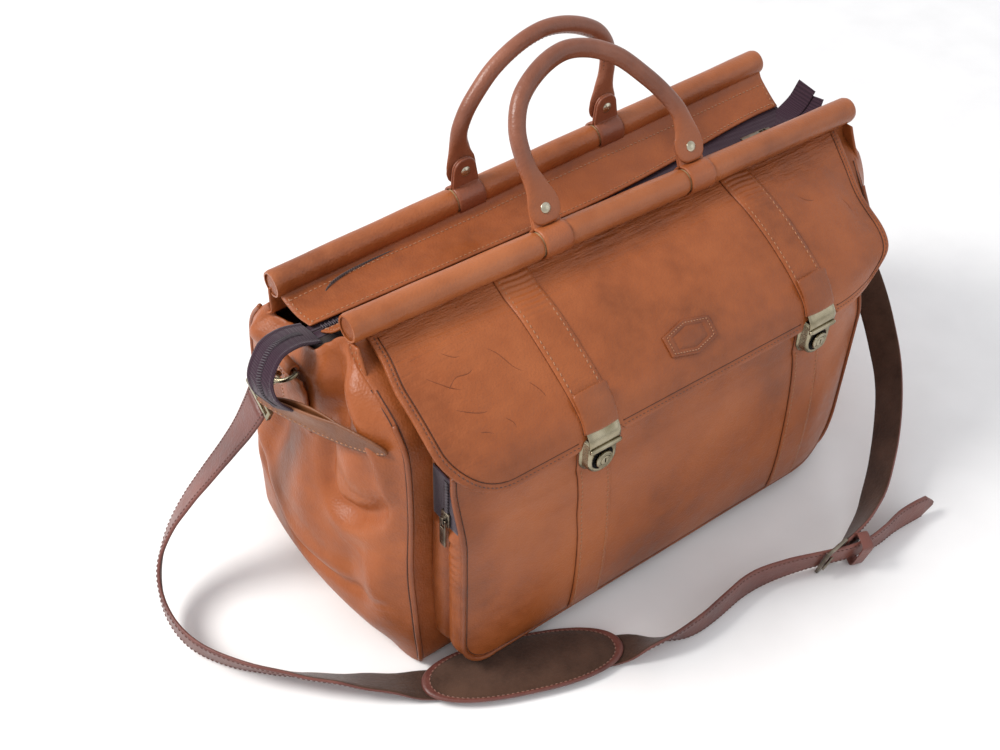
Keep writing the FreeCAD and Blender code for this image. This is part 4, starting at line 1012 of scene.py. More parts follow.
def pocket():
    turn = np.linspace(0, np.pi / 2, 14)
    z = np.r_[POCKET_LOW + POCKET_CORNER * (1 - np.cos(turn)),
              np.linspace(POCKET_LOW + POCKET_CORNER, POCKET_TOP, 44)[1:]]
    low = np.clip(z - POCKET_LOW, 0, POCKET_CORNER)
    half = POCKET_HALF - POCKET_CORNER + np.sqrt(POCKET_CORNER ** 2 - (POCKET_CORNER - low) ** 2)
    b = np.repeat(z[:, None], 121, 1)
    a = half[:, None] * np.linspace(-1, 1, 121)[None]
    b = pocket_lift(a, b)
    points = POCKET.at(a, b)
    verts, faces = shell(points, POCKET.normal(a, b), LEATHER_T)
    make("pocket_leather", verts, faces, TAN, BAG, replaces=["pocket_front"], slot="leather_tan")
    line = pocket_outline()
    line[:, 1] = pocket_lift(line[:, 0], line[:, 1])
    around = unit(np.gradient(line, axis=0))
    out = np.stack([around[:, 1], -around[:, 0]], 1)
    out = out * np.sign(np.sum(out * (line - (0, 0.11)), 1, keepdims=True))
    edge = POCKET.at(line[:, 0], line[:, 1])
    depth = np.linspace(0, 1, 25)
    welts = 3.6 * np.abs(np.sin(2 * np.pi * depth)) ** 0.8 - 2.6 * np.exp(-((depth - 0.5) / 0.07) ** 2)
    count = np.arange(len(line))
    pucker = 0.9 * np.sin(count * 1.45 + 0.9 * np.sin(count * 0.31))[:, None]
    pucker = pucker * np.sin(np.pi * np.clip(depth * 2, 0, 1))[None]
    window = soft_step(edge[:, 2], 0.160, 0.167) * (edge[:, 0] < 0)
    window = window[:, None] * (soft_step(depth, 0.05, 0.14) * soft_step(-depth, -0.96, -0.88))[None]
    lift = ((welts[None] + pucker * soft_step(edge[:, 2], 0.09, 0.15)[:, None]) * (1 - window)
            - 3.0 * window) * MM
    wall = np.empty((len(line), len(depth), 3))
    wall[..., 0] = line[:, :1] + out[:, :1] * lift
    rise = 10 * MM * depth[None] * soft_step(line[:, 1:], 0.18, 0.216)
    wall[..., 2] = line[:, 1:] + out[:, 1:] * lift + rise
    wall[..., 1] = edge[:, 1:2] + (POCKET_BACK_Y - edge[:, 1:2]) * depth[None]
    normals = unit(np.cross(np.gradient(wall, axis=0), np.gradient(wall, axis=1)))
    outward = np.sign(np.sum(normals[..., [0, 2]] * out[:, None], axis=2, keepdims=True))
    verts, faces = shell(wall, normals * np.where(outward == 0, 1, outward), LEATHER_T * 0.8)
    make("pocket_wall", verts, faces, TAN, BAG, replaces=["pocket_gusset"], slot="leather_tan")
    sideways = np.stack([out[:, 0], np.zeros(len(out)), out[:, 1]], 1)
    rim = edge + sideways * 0.3 * MM + (0, -0.6 * MM, 0)
    make("pocket_rim", *sweep(rim, (0, -1, 0), round_profile(2.0 * MM, 10)), TAN_DARK, BAG,
         replaces=["pocket_piping"], slot="leather_tan")
    # Painted shade: a dark line in the pressed groove inside the pocket's edge, and one in the crease behind
    # its piping
    inner = pocket_outline(3.0 * MM)
    groove = on_skin(POCKET, np.stack([inner[:, 0], pocket_lift(inner[:, 0], inner[:, 1])], 1), -0.1 * MM)[0]
    dark_line("pocket_groove_shade", [groove, edge + sideways * 0.6 * MM + (0, 2.2 * MM, 0)], BAG)
    for k, x in enumerate((-STRIP_X, STRIP_X)):
        us, vs = np.linspace(-1, 1, 11), np.linspace(0.019, 0.204, 50)
        b, u = grid_of(vs, us)
        name = "pocket_strip_" + ("left", "right")[k]
        patch(name, POCKET, x + u * STRIP_HALF, b, 0.0, 1.5 * MM, TAN, BAG, replaces=["pocket_strips"],
              slot="leather_tan")
        # Dark lines along both sides of the strip: its painted edge, and painted shade at its foot
        foot = [on_skin(POCKET, [(x + side * (STRIP_HALF + 0.3 * MM), v) for v in vs], 0.25 * MM)[0]
                for side in (-1, 1)]
        dark_line(name + "_edge", foot, BAG)
        run = np.linspace(0.020, 0.17, 60)
        rows = [on_skin(POCKET, [(x + side * (STRIP_HALF - 2.6 * MM), v) for v in run], 1.55 * MM)
                for side in (-1, 1)]
        stitches(name + "_stitches", rows, BAG)


def pocket_zip():
    lo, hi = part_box("pocket_zip_tape")
    x, z0, middle = lo.x, lo.z, (lo.y + hi.y) / 2
    top = POCKET_TOP + 6 * MM
    zz, u = grid_of(np.linspace(z0 - 0.001, top, 30), np.linspace(-1, 1, 13))
    near = POCKET.at(np.full(zz.shape, -POCKET_HALF), zz)[..., 1] + 2.2 * MM
    far = POCKET_BACK_Y - 1.5 * MM
    yy = middle + np.where(u < 0, u * (middle - near), u * (far - middle))
    xx = x + 0.5 * MM * np.abs(u) - 0.2 * MM
    grid = np.stack([xx, yy, zz], -1)
    normals = facing((-1, 0, 0), grid)
    make("pocket_tape", *shell(grid, normals, 0.8 * MM), TAPE, BAG, replaces=["pocket_zip_tape"],
         slot="zip_tape")
    teeth = []
    for k, z in enumerate(np.arange(z0 + 2 * MM, top - 2 * MM, 1.5 * MM)):
        shift = (0.35, -0.35)[k % 2] * MM
        teeth.append(tooth((x - 0.5 * MM, middle + shift, z), (0, 1, 0), (0, 0, 1), (-1, 0, 0)))
    make("pocket_teeth", *merged(teeth), COIL, BAG, slot="zip_teeth")


def tooth(at, across, along, up, half_w=2.3 * MM, half_l=0.5 * MM, tall=1.0 * MM):
    """One bent turn of a zipper coil, seen from above as a short rounded bar."""
    at, across, along, up = (np.array(v, float) for v in (at, across, along, up))
    line = np.array([at + across * half_w * s + up * tall * (0.9 - 0.55 * s * s)
                     for s in np.linspace(-1, 1, 5)])
    return sweep(line, up, round_profile(half_l * 1.1, 6))


# Mouth: valances, main zipper, its loose end and its tab

def valance_line(name):
    """Outer line of a valance from its bar down to the zip, with its run, as (y, z)."""
    lo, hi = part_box("zipper_tape")
    middle, bar = (lo.y + hi.y) / 2, bar_centre(name)
    side = -1 if name == "rear" else 1
    near = bar.y + side * 8.6 * MM
    line = smooth_line([(near, bar.z - 6.0 * MM), (near + side * 5 * MM, bar.z - 10.5 * MM),
                        ((near + middle) / 2, (bar.z + hi.z) / 2 - 7.5 * MM),
                        (middle - side * 5.4 * MM, hi.z + 0.9 * MM)], 40)
    return line, run_of(line)


def valance_skin(name):
    line, run = valance_line(name)

    def at(x, s):
        y, z = at_run(s, run, line)
        share = np.clip(s / run[-1], 0, 1)
        wave = 0.9 * MM * np.sin(x * 31 + 1.0) * np.sin(np.pi * share)
        tilt = x * REAR_TILT * (1 - share) if name == "rear" else 0.0
        return np.stack([x, y, z + wave + tilt], -1)
    return Skin(at, -1 if name == "rear" else 1), run[-1]


def valance_reach(name, x, run):
    """How far a valance comes down at x: the rear one draws up toward its right end."""
    return run * (1 - 0.34 * soft_step(x, 0.0, 0.235)) if name == "rear" else np.full(np.shape(x), run)


def mouth():
    for name, half in (("rear", 247 * MM), ("front", 244 * MM)):
        skin, run = valance_skin(name)
        u, a = grid_of(np.linspace(0, 1, 24), np.linspace(-half, half, 121))
        b = u * valance_reach(name, a, run)
        patch("valance_" + name, skin, a, b, -0.3 * MM, 1.8 * MM, TAN, BAG, replaces=[name + "_valance"],
              slot="leather_tan")
        xs = np.linspace(-half + 4 * MM, half - 4 * MM, 220)
        rows = [on_skin(skin, np.stack([xs, np.full(220, 9.5 * MM)], 1), 1.6 * MM)]
        for end in (-1, 1):
            foot = float(valance_reach(name, end * half, run)) - 2 * MM
            rows.append(on_skin(skin, [(end * (half - 3 * MM), v) for v in np.linspace(8.5 * MM, foot, 20)],
                                1.6 * MM))
        rows.append(on_skin(skin, np.stack([xs, valance_reach(name, xs, run) - 3 * MM], 1), 1.6 * MM))
        stitches("valance_stitches_" + name, rows, BAG)


def main_zip():
    lo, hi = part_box("zipper_tape")
    middle = (lo.y + hi.y) / 2
    tapes = []
    for name, side in (("rear", 1), ("front", -1)):
        skin, run = valance_skin(name)
        u, x = grid_of(np.linspace(0, 1, 14), np.linspace(lo.x, hi.x, 120))
        inner = np.stack([x, np.full(x.shape, middle + side * 0.8 * MM), np.full(x.shape, hi.z)], -1)
        outer = skin.lifted(x, valance_reach(name, x, run) - 4 * MM, np.full(x.shape, -1.6 * MM))
        grid = inner + (outer - inner) * u[..., None]
        grid[..., 2] += 0.3 * MM * np.sin(x * 40) * u * (1 - u) - 1.2 * MM * np.sin(np.pi * u)
        normals = unit(np.cross(np.gradient(grid, axis=1), np.gradient(grid, axis=0)))
        normals = normals * np.sign(normals[..., 2:])
        tapes.append(shell(grid, normals, 0.8 * MM))
    make("mouth_tape", *merged(tapes), TAPE, BAG, replaces=["zipper_tape"], slot="zip_tape")
    chain_lo, chain_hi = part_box("zipper_chain")
    teeth = []
    for k, x in enumerate(np.arange(chain_lo.x, chain_hi.x, 1.7 * MM)):
        shift = (0.5, -0.5)[k % 2] * MM
        teeth.append(tooth((x, middle + shift, chain_lo.z - 0.1 * MM), (0, 1, 0), (1, 0, 0), (0, 0, 1)))
    make("mouth_teeth", *merged(teeth), COIL, BAG, replaces=["zipper_chain"], slot="zip_teeth")
    zip_tail()
    heads = []
    for side, reach in ((1, 0.031), (-1, 0.025)):
        end = smooth_line([(0.230, middle + side * 8 * MM, lo.z + 0.001),
                           (0.246, middle + side * 8.5 * MM, lo.z + 0.006),
                           (0.258, middle + side * 7 * MM, lo.z + 0.5 * reach),
                           (0.265, middle + side * 5 * MM, lo.z + reach)], 26)
        heads.append(sweep(end, (-1, 0, 0.25), flat_profile(10.5 * MM, 0.6 * MM, 16)))
    make("zip_head", *merged(heads), TAPE, BAG, slot="zip_tape")


def zip_tail():
    """Loose end of the tape: it arches out over the ring and down into its leather tab."""
    line = smooth_line([(-0.2505, 0.009, 0.2550), (-0.270, 0.005, 0.2630), (-0.289, -0.002, 0.2650),
                        (-0.302, -0.009, 0.254), (-0.303, -0.015, 0.241), (-0.293, -0.020, 0.226)], 60)
    wide = np.array([(0.1 - 0.46 * s, 1 - 0.07 * s, -0.08 * s) for s in np.linspace(0, 1, 60)])
    up = unit(np.cross(unit(np.gradient(line, axis=0)), wide))
    up = up * np.sign(up[0, 2])
    ribs = flat_profile(13 * MM, 0.7 * MM, 44, 0.25)
    ribs[:, 1] += np.where(np.abs(ribs[:, 1]) > 0.3 * MM, 0.3 * MM * np.cos(ribs[:, 0] / (13 * MM) * 22), 0)
    make("tail_tape", *sweep(line, up, ribs), TAPE, BAG, replaces=["zipper_tail"], slot="zip_tape")
    teeth = []
    along, side, over = frames_of(line, up)
    steps = even_steps(np.hstack([line, along, side, over]), 52, 3)
    for row in steps[6:-4]:
        teeth.append(tooth(row[:3] + row[9:12] * 0.5 * MM, row[6:9], row[3:6], row[9:12]))
    make("tail_teeth", *merged(teeth), COIL, BAG, slot="zip_teeth")


TAB_SHIFT = np.array([8, -5, 9]) * MM


def end_tab():
    """Pointed two-layer leather tab, open along the upper edge where the tape goes in."""
    lo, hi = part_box("zipper_end_tab")
    centre = np.array((lo + hi) / 2) + TAB_SHIFT
    along, across = unit(np.array([0.36, -0.93, 0.08])), np.array([-0.2, 0.0, 0.98])
    across = unit(across - along * np.dot(across, along))
    out = np.cross(along, across)
    half_l, half_w = 58 * MM, 12.5 * MM
    layers, rows = [], []
    for side in (-1, 1):
        v, u = grid_of(np.linspace(-1, 1, 13), np.linspace(-1, 1, 61))
        tall = half_w * np.clip(1 - u ** 2, 0, 1) ** 0.6
        gape = 2.6 * MM * np.clip(1 - ((u + 0.25) / 0.55) ** 2, 0, 1) * soft_step(v, -0.4, 1.0)
        off = side * (1.1 * MM + gape) + 1.0 * MM * np.sin(u * 2.2)
        grid = centre + along * (u * half_l)[..., None]
        grid = grid + across * (v * tall)[..., None] + out * off[..., None]
        normals = facing(out * side, grid)
        layers.append(shell(grid, normals, 1.9 * MM))
        edge = [(s, -half_w * (1 - s * s) ** 0.6 + 2.3 * MM) for s in np.linspace(-0.93, 0.93, 90)]
        points = np.array([centre + along * (s * half_l) + across * h
                           + out * (side * 1.15 * MM + MM * math.sin(s * 2.2)) for s, h in edge])
        rows.append((points, facing(out * side, points)))
    make("end_tab_leather", *merged(layers), TAB_LEATHER, BAG, replaces=["zipper_end_tab"],
         slot="leather_tan")
    stitches("end_tab_stitches", rows, BAG, pitch=4.0 * MM, length=2.6 * MM)


# Bars

BAR_SIDES, BAR_R = 36, 11 * MM


def bar_centre(name):
    lo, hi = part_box(name + "_dowel")
    return (lo + hi) / 2


def bars():
    for name in ("front", "rear"):
        centre = bar_centre(name)
        tilt = REAR_TILT if name == "rear" else 0.0
        parts, gap = [], 13.6 * MM
        stretches = [(-250 * MM, -HANDLE_X - gap), (-HANDLE_X + gap, HANDLE_X - gap),
                     (HANDLE_X + gap, 250 * MM)]
        for x0, x1 in stretches:
            count = int((x1 - x0) / (2.5 * MM))
            xs = np.linspace(x0, x1, count)
            line = np.stack([xs, np.full(count, centre.y), centre.z + xs * tilt], 1)
            near = np.minimum(xs - x0, x1 - xs)
            eased = 0.8 * MM * np.clip(1 - near / (1.2 * MM), 0, 1) ** 2
            radius = BAR_R + 0.12 * MM * np.sin(xs * 90) - eased
            ring = round_profile(1.0, BAR_SIDES)
            seam = 1 + 0.045 * np.exp(-(ring[:, 0] / 0.22) ** 2) * (ring[:, 1] < 0)
            profile = (ring * seam[:, None])[None] * radius[:, None, None]
            verts, faces = sweep(line, (0, 0, 1), profile)
            parts.append((verts, faces[:-2]))
            inner = sweep(line, (0, 0, 1), ring[None] * (radius[:, None, None] - 1.5 * MM))
            parts.append((inner[0], inner[1][:-2]))
            rows = len(line)
            for end in (0, rows - 1):
                joined = np.vstack([verts[end * BAR_SIDES:(end + 1) * BAR_SIDES],
                                    inner[0][end * BAR_SIDES:(end + 1) * BAR_SIDES]])
                parts.append((joined, ring_faces(2, BAR_SIDES, True)))
        verts, faces = merged(parts)
        make(name + "_bar_leather", verts, faces, BAR_LEATHER, BAG, replaces=[name + "_bar_wrap"],
             slot="leather_tan")
        caps = []
        for end in (-1, 1):
            x = end * 248.6 * MM
            rings = []
            for share, dx in ((0.97, -2.0), (0.96, -0.2), (0.9, 0.2), (0.6, 0.5), (0.05, 0.6)):
                ring = round_profile(9.9 * MM * share, BAR_SIDES)
                points = np.stack([np.full(BAR_SIDES, x + end * dx * MM), centre.y + ring[:, 0],
                                   centre.z + x * tilt + ring[:, 1]], 1)
                rings.append(points)
            caps.append(capped(rings))
        make(name + "_bar_ends", *merged(caps), TAN_DARK, BAG, slot="leather_tan",
             replaces=["bar_caps"] if name == "front" else ())


# Handles

def handle(name, side, lean, sway, drop):
    """Rolled grip with flat riveted ends; drawn upright over the bar, then leant."""
    centre = bar_centre(name)
    tilt = math.atan(REAR_TILT) if name == "rear" else 0.0
    turn = np.array(Matrix.Rotation(-tilt, 3, "Y") @ Matrix.Rotation(-lean, 3, "X"))

    def place(points):
        return np.asarray(points) @ turn.T + np.array(centre)

    grip_y, flat_y = side * 5.4 * MM, side * 4.1 * MM
    arch = [(1.0, flat_y, 12.6), (1.0, flat_y, 18), (1.0, flat_y, 27), (1.02, flat_y * 1.15, 40),
            (1.07, grip_y, 60), (1.04, grip_y, 86), (0.86, grip_y, 109), (0.50, grip_y, 123.5),
            (0.0, grip_y, 129)]
    left = [(-x * HANDLE_X, y, z * MM) for x, y, z in arch]
    line = smooth_line(left + [(-x, y, z) for x, y, z in left[-2::-1]], 170)
    high = soft_step(line[:, 2], 0.03, 0.11)
    line[:, 0] += sway * high * soft_step(-np.sign(sway) * line[:, 0], -0.06, 0.06)
    line[:, 2] -= drop * soft_step(line[:, 2], 0.05, 0.125)
    up = facing((0, side, 0), line)
    run = run_of(line)
    far = np.minimum(run, run[-1] - run) / MM
    wide = np.interp(far, [0, 2, 5, 11, 18, 26, 38, 52], [6.5, 9.8, 12.6, 14.4, 13.4, 10.6, 7.7, 6.5]) * MM
    thick = np.interp(far, [0, 3, 14, 26, 38, 52], [1.2, 1.8, 1.9, 3.2, 5.2, 6.3]) * MM
    ring = round_profile(1.0, 28)
    profile = ring[None] * np.stack([wide, thick], 1)[:, None]
    _, across, _ = frames_of(line, up)
    inward = np.sign(np.sum(across * (np.array([0, 0, 60 * MM]) - line), axis=1))
    around = np.arctan2(ring[:, 1], ring[:, 0])[None]
    seam = np.exp(-((around - np.where(inward > 0, 0, np.pi)[:, None]) / 0.22) ** 2)
    seam += np.exp(-((around + np.where(inward > 0, 3, 1)[:, None] * np.pi) / 0.22) ** 2)
    fade = soft_step(far, 30, 50)
    profile = profile * (1 + 0.22 * seam * fade[:, None])[..., None]
    verts, faces = sweep(line, up, profile)
    foot = np.repeat(1 - soft_step(far, 24, 58), 28) * (1.0 if name == "front" else 0.25)
    make(name + "_grip_leather", place(verts), faces, HANDLE_LEATHER, name + "_handle", attributes=foot,
         replaces=[name + "_handle_grip"], slot="leather_handle")
    keep = far > 44
    row = line + (across * inward[:, None] * 6.1 * MM - up * 2.6 * MM)
    row_out = across * inward[:, None] - 0.3 * up
    stitches(name + "_grip_stitches", [(place(row[keep]), row_out[keep] @ turn.T)], name + "_handle",
             mat=DARK_THREAD, pitch=3.6 * MM, length=2.4 * MM, width=0.9 * MM, proud=0.3 * MM)
    loops = []
    for x in (-HANDLE_X, HANDLE_X):
        path = [(1.18, z) for z in np.linspace(35, 13.5, 10)]
        path += [(11.15 * math.cos(t), 11.15 * math.sin(t)) for t in np.radians(np.linspace(84, -264, 44))]
        path += [(-1.18, z) for z in np.linspace(13.5, 35, 10)]
        path = even_steps(np.array(path), 90)
        up_share = np.clip((path[:, 1] - 12) / 22, 0, 1)
        tip = (np.clip(path[:, 1] - 27, 0, 8.2) / 8.6) ** 2
        half = (12 - 3.0 * up_share) * np.sqrt(np.clip(1 - tip, 0.02, 1))
        b, u = grid_of(np.arange(90), np.linspace(-1, 1, 9))
        grid = np.stack([x + u * half[b] * MM, path[b, 0] * MM, path[b, 1] * MM], -1)
        step = np.gradient(path, axis=0)
        out = unit(np.stack([np.zeros(90), -step[:, 1], step[:, 0]], 1))
        if np.sum(out[45] * np.array([0, path[45, 0], path[45, 1]])) < 0:
            out = -out
        normals = np.repeat(out[:, None], 9, 1)
        loops.append(shell(grid + normals * 1.1 * MM, normals, 2.2 * MM))
    verts, faces = merged(loops)
    make(name + "_loop_leather", place(verts), faces, LOOP_LEATHER if name == "front" else LOOP_DARK,
         name + "_handle", replaces=[name + "_handle_loops"], slot="leather_handle")


# End rings

def ring_patches():
    """Leather patch and loop that hold the bar of the D-ring on each end."""
    lo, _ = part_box("ring_chapes")
    bar_x, bar_y, bar_z = 0.2732, 0.008, 0.239
    top = 0.232
    parts, rows = [], []
    for side in (-1, 1):
        v, u = grid_of(np.linspace(0, 1, 30), np.linspace(-1, 1, 15))
        z = lo.z + v * (top - lo.z)
        low = np.clip((z - lo.z) / (6 * MM), 0, 1)
        half = 15 * MM * (0.82 + 0.18 * np.sqrt(1 - (1 - low) ** 2)) - 3.6 * MM * soft_step(v, 0.82, 0.97)
        y = bar_y - 3.5 * MM + u * (half + 3.5 * MM)
        x = np.full(y.shape, bar_x + 1.4 * MM) - 1.2 * MM * u ** 2 - 2.5 * MM * (1 - v)
        grid = np.stack([side * x, y, z], -1)
        normals = facing((side, 0, 0), grid)
        parts.append(shell(grid, normals, 3.0 * MM))
        path = np.array([(5.0 * math.cos(t), 5.0 * math.sin(t))
                         for t in np.radians(np.linspace(-70, 190, 22))])
        b, u = grid_of(np.arange(22), np.linspace(-1, 1, 9))
        out = unit(np.array([(side * c, 0, s) for c, s in path]))
        grid = np.stack([side * (bar_x + path[b, 0] * MM), bar_y + u * 11 * MM, bar_z + path[b, 1] * MM], -1)
        parts.append(shell(grid, np.repeat(out[:, None], 9, 1), 2.0 * MM))
        line = [(-19.4, 4), (-19.4, 43), (12.4, 43), (12.4, 4), (-19.4, 4)]
        line = polyline(np.array([(bar_y + y * MM, lo.z + z * MM) for y, z in line]))
        share = (line[:, 1] - lo.z) / (top - lo.z)
        xs = bar_x + 1.5 * MM - 1.2 * MM * ((line[:, 0] - bar_y) / (15 * MM)) ** 2 - 2.5 * MM * (1 - share)
        points = np.stack([side * xs, line[:, 0], line[:, 1]], 1)
        rows.append((points, facing((side, 0, 0), points)))
    make("ring_patch_leather", *merged(parts), TAN, BAG, replaces=["ring_chapes"], slot="leather_tan")
    stitches("ring_patch_stitches", rows, BAG, pitch=3.6 * MM, length=2.5 * MM)


def stay_tabs():
    """Small stitched tabs from the ends of the front bar down to the gussets."""
    centre = bar_centre("front")
    parts, rows = [], []
    for side in (-1, 1):
        path = smooth_line([(-5, -11.5), (-9, -20), (-16, -33), (-23, -44)], 24) * MM
        v, u = grid_of(np.arange(24), np.linspace(-1, 1, 9))
        half = 5.5 * MM * np.sqrt(np.clip(1 - (np.clip(v / 23 - 0.7, 0, 0.3) / 0.31) ** 2, 0.03, 1))
        grid = np.stack([np.full(u.shape, side * 0.2494), centre.y + path[v, 0] + u * half,
                         centre.z + path[v, 1]], -1)
        normals = facing((side, 0, 0), grid)
        parts.append(shell(grid, normals, 2.6 * MM))
        for s in (-1, 1):
            line = grid[2:-3, 4] + np.array([side * 0.1 * MM, s * 3.4 * MM, 0])
            rows.append((line, facing((side, 0, 0), line)))
    make("stay_tab_leather", *merged(parts), TAN, BAG, replaces=["bar_stays"], slot="leather_tan")
    stitches("stay_tab_stitches", rows, BAG, pitch=3.4 * MM, length=2.2 * MM)


# Locks and hasps

LOCK_SIDES, LOCK_R = 96, 14 * MM


def lock(name, x):
    """Lock case with a flat top and a dark well, the face of its button, and the hasp over it."""
    case_lo, case_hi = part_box("lock_cases")
    button_lo, button_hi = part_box("lock_button_" + name)
    front, back = case_lo.y, case_hi.y
    centre_z = (button_lo.z + button_hi.z) / 2
    top = case_hi.z - centre_z
    angles = np.linspace(0, 2 * np.pi, LOCK_SIDES, endpoint=False)

    def outline(inset):
        c, s = np.cos(angles), np.sin(angles)
        flat = np.minimum((LOCK_R - inset) / np.maximum(np.abs(c), 1e-9),
                          (top - inset) / np.maximum(s, 1e-9))
        return np.where(s > 0, flat, LOCK_R - inset)

    def ring(radius, y):
        return np.stack([x + radius * np.cos(angles), np.full(LOCK_SIDES, y),
                         centre_z + radius * np.sin(angles)], 1)

    rings = [ring(outline(inset * MM), back - y * MM)
             for inset, y in ((-1.7, 0), (-1.9, 0.5), (-1.5, 1.1), (-0.2, 1.3), (0.2, 1.8))]
    rings += [ring(outline(inset * MM), front + y * MM) for inset, y in ((0.7, 1.6), (1.4, 0.5), (2.4, 0.05))]
    rings += [ring(r * MM, front + y * MM)
              for r, y in ((10.4, 0), (9.8, 0.4), (9.6, 2.6), (8.3, 2.8), (8.0, 6.0))]
    verts, faces = capped(rings)
    # The walls and floor of the well, from just inside its lip, take near-black metal
    well = 9 * LOCK_SIDES
    make("lock_case_" + name, verts, faces, [BRASS, NEAR_BLACK_METAL], BAG, slot="antique_brass",
         replaces=["lock_cases"] if name == "left" else (), picks=[int(i >= well) for i in range(len(faces))])
    face = button_lo.y
    shape = [(7.5, 3.4), (7.5, 0.6), (7.1, 0.15), (6.3, 0.0), (6.0, 0.5), (5.7, 0.5), (5.4, 0.05),
             (4.8, 0.0), (4.5, 0.4), (4.45, 2.0)]
    rings = [ring(r * MM, face + depth * MM) for r, depth in shape]
    make("lock_button_face_" + name, *capped(rings), BRASS, "lock_button_" + name,
         replaces=["lock_button_" + name], slot="antique_brass")
    hasp(name, x, front)


def hasp(name, x, front):
    """Leather tab over the strip, and the metal plate with its rolled lip."""
    turn = np.linspace(0, np.pi / 2, 7)
    corner = 2.6 * MM
    top = 31 * MM
    s = np.r_[np.linspace(3 * MM, top - corner, 16), top - corner + corner * np.sin(turn)[1:]]
    half = np.r_[np.full(16, 14.6 * MM), 14.6 * MM - corner * (1 - np.cos(turn))[1:]]
    b, u = grid_of(np.arange(len(s)), np.linspace(-1, 1, 17))
    lift = (1.7 + 1.9 * np.cos(u * 1.35) + 2.6 * soft_step(s[b], top - 9 * MM, top) * (0.6 + 0.4 * u)) * MM
    outer = FLAP.lifted(x + u * half[b], s[b], lift + (1.2 + 1.6 * soft_step(s[b], 0.012, 0.022)) * MM)
    verts, faces = shell(outer, FLAP.normal(x + u * half[b], s[b]), 2.4 * MM)
    make("hasp_tab_" + name, verts, faces, TAN_DARK, "flap", replaces=["hasp_tabs"], slot="leather_tan")
    inner = front - 0.4 * MM
    line = smooth_line([(-0.1553, 0.2205), (-0.1578, 0.2150), (inner - 0.3 * MM, 0.2085),
                        (inner - 0.8 * MM, 0.2020)], 30)
    step = unit(np.gradient(line, axis=0))
    out = np.stack([np.zeros(30), step[:, 1], -step[:, 0]], 1)
    out = out * np.sign(-out[:, 1:2])
    b, u = grid_of(np.arange(30), np.linspace(-1, 1, 21))
    edge = np.minimum(1 - np.abs(u), np.minimum(b / 29, 1 - b / 29) * 1.5)
    level = 0.7 * MM * soft_step(edge, 0.02, 0.16)
    grid = np.stack([x + u * 14.2 * MM, line[b, 0], line[b, 1]], -1) + out[b] * level[..., None]
    plate = shell(grid, out[b], 1.6 * MM)
    lip_line = np.stack([x + np.linspace(-14.6, 14.6, 24) * MM, np.full(24, inner - 1.3 * MM),
                         np.full(24, 0.2)], 1)
    ends = np.clip(1 - np.abs(np.linspace(-1, 1, 24)) ** 12 * 0.5, 0, 1)
    lip = sweep(lip_line, (0, 0, 1), round_profile(2.1 * MM, 14)[None] * ends[:, None, None])
    make("hasp_plate_" + name, *merged([plate, lip]), BRASS, "flap", slot="antique_brass",
         replaces=["hasp_plates"] if name == "left" else ())


# Shoulder pad, and the fittings of the strap

def shoulder_pad():
    """Oval pad: a leather edge round a raised suede face, with a stitched line between."""
    lo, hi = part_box("shoulder_pad")
    centre = Vector(((lo.x + hi.x) / 2, (lo.y + hi.y) / 2, lo.z))
    turn = np.array(Matrix.Rotation(math.radians(-22), 3, "Z"))
    count = 96
    angles = np.linspace(0, 2 * np.pi, count, endpoint=False)
    c, s = np.cos(angles), np.sin(angles)
    outline = np.stack([82 * MM * squared(c, 0.8), 27.5 * MM * squared(s, 0.9), 0 * c], 1)
    low, high = 0.2 * MM, 5.6 * MM
    under = ((0.05, 0), (0.6, 0), (0.93, 0.2), (0.985, 1.0), (1.0, 2.4), (0.985, 3.8))
    over = ((0.95, -1.3), (0.915, -1.9), (0.88, -1.3), (0.75, -0.2), (0.5, 0.3), (0.05, 0.4))
    rings = [outline * (share, share, 1) + (0, 0, level + rise * MM)
             for level, steps in ((low, under), (high, over)) for share, rise in steps]
    verts, faces = capped(rings)
    verts = verts @ turn.T + np.array(centre)
    picks = [1 if i >= 7 * count else 0 for i in range(len(faces) - 2)] + [0, 1]
    pad = make("pad_leather", verts, faces, [STRAP_LEATHER, SUEDE], BAG, replaces=["shoulder_pad"],
               slot="suede", picks=picks)
    line = outline * (0.915, 0.915, 1) + (0, 0, high - 1.7 * MM)
    line = np.vstack([line, line[:1]]) @ turn.T + np.array(centre)
    stitches("pad_stitches", [(line, facing((0, 0, 1), line))], BAG, mat=PAD_THREAD, pitch=3.8 * MM,
             length=2.6 * MM)


def keeper():
    lo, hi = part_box("strap_keeper")
    centre = np.array((lo + hi) / 2)
    along, across = unit(np.array([0.93, -0.365, 0])), np.array([0.0, -0.30, 0.95])
    across = unit(across - along * np.dot(across, along))
    up = np.cross(along, across)
    angles = np.linspace(0, 2 * np.pi, 48, endpoint=False)
    c, s = np.cos(angles), np.sin(angles)
    loop = np.stack([17.2 * MM * squared(c, 0.3), 7.6 * MM * squared(s, 0.35)], 1)
    rings = []
    for grow, shift in ((0, -4), (0.8, -5), (1.0, -4.2), (1.0, 4.2), (0.8, 5), (0, 4), (-0.6, 4), (-0.6, -4)):
        scaled = loop * (1 + grow * MM / (17.2 * MM), 1 + grow * MM / (7.6 * MM))
        rings.append(centre + along * shift * MM + scaled[:, :1] * across + scaled[:, 1:] * up)
    faces = ring_faces(8, 48, True)
    faces += [(7 * 48 + k, 7 * 48 + (k + 1) % 48, (k + 1) % 48, k) for k in range(48)]
    return make("keeper_leather", np.vstack(rings), faces, STRAP_LEATHER, BAG, replaces=["strap_keeper"],
                slot="leather_strap")


# Carried-over CAD metal

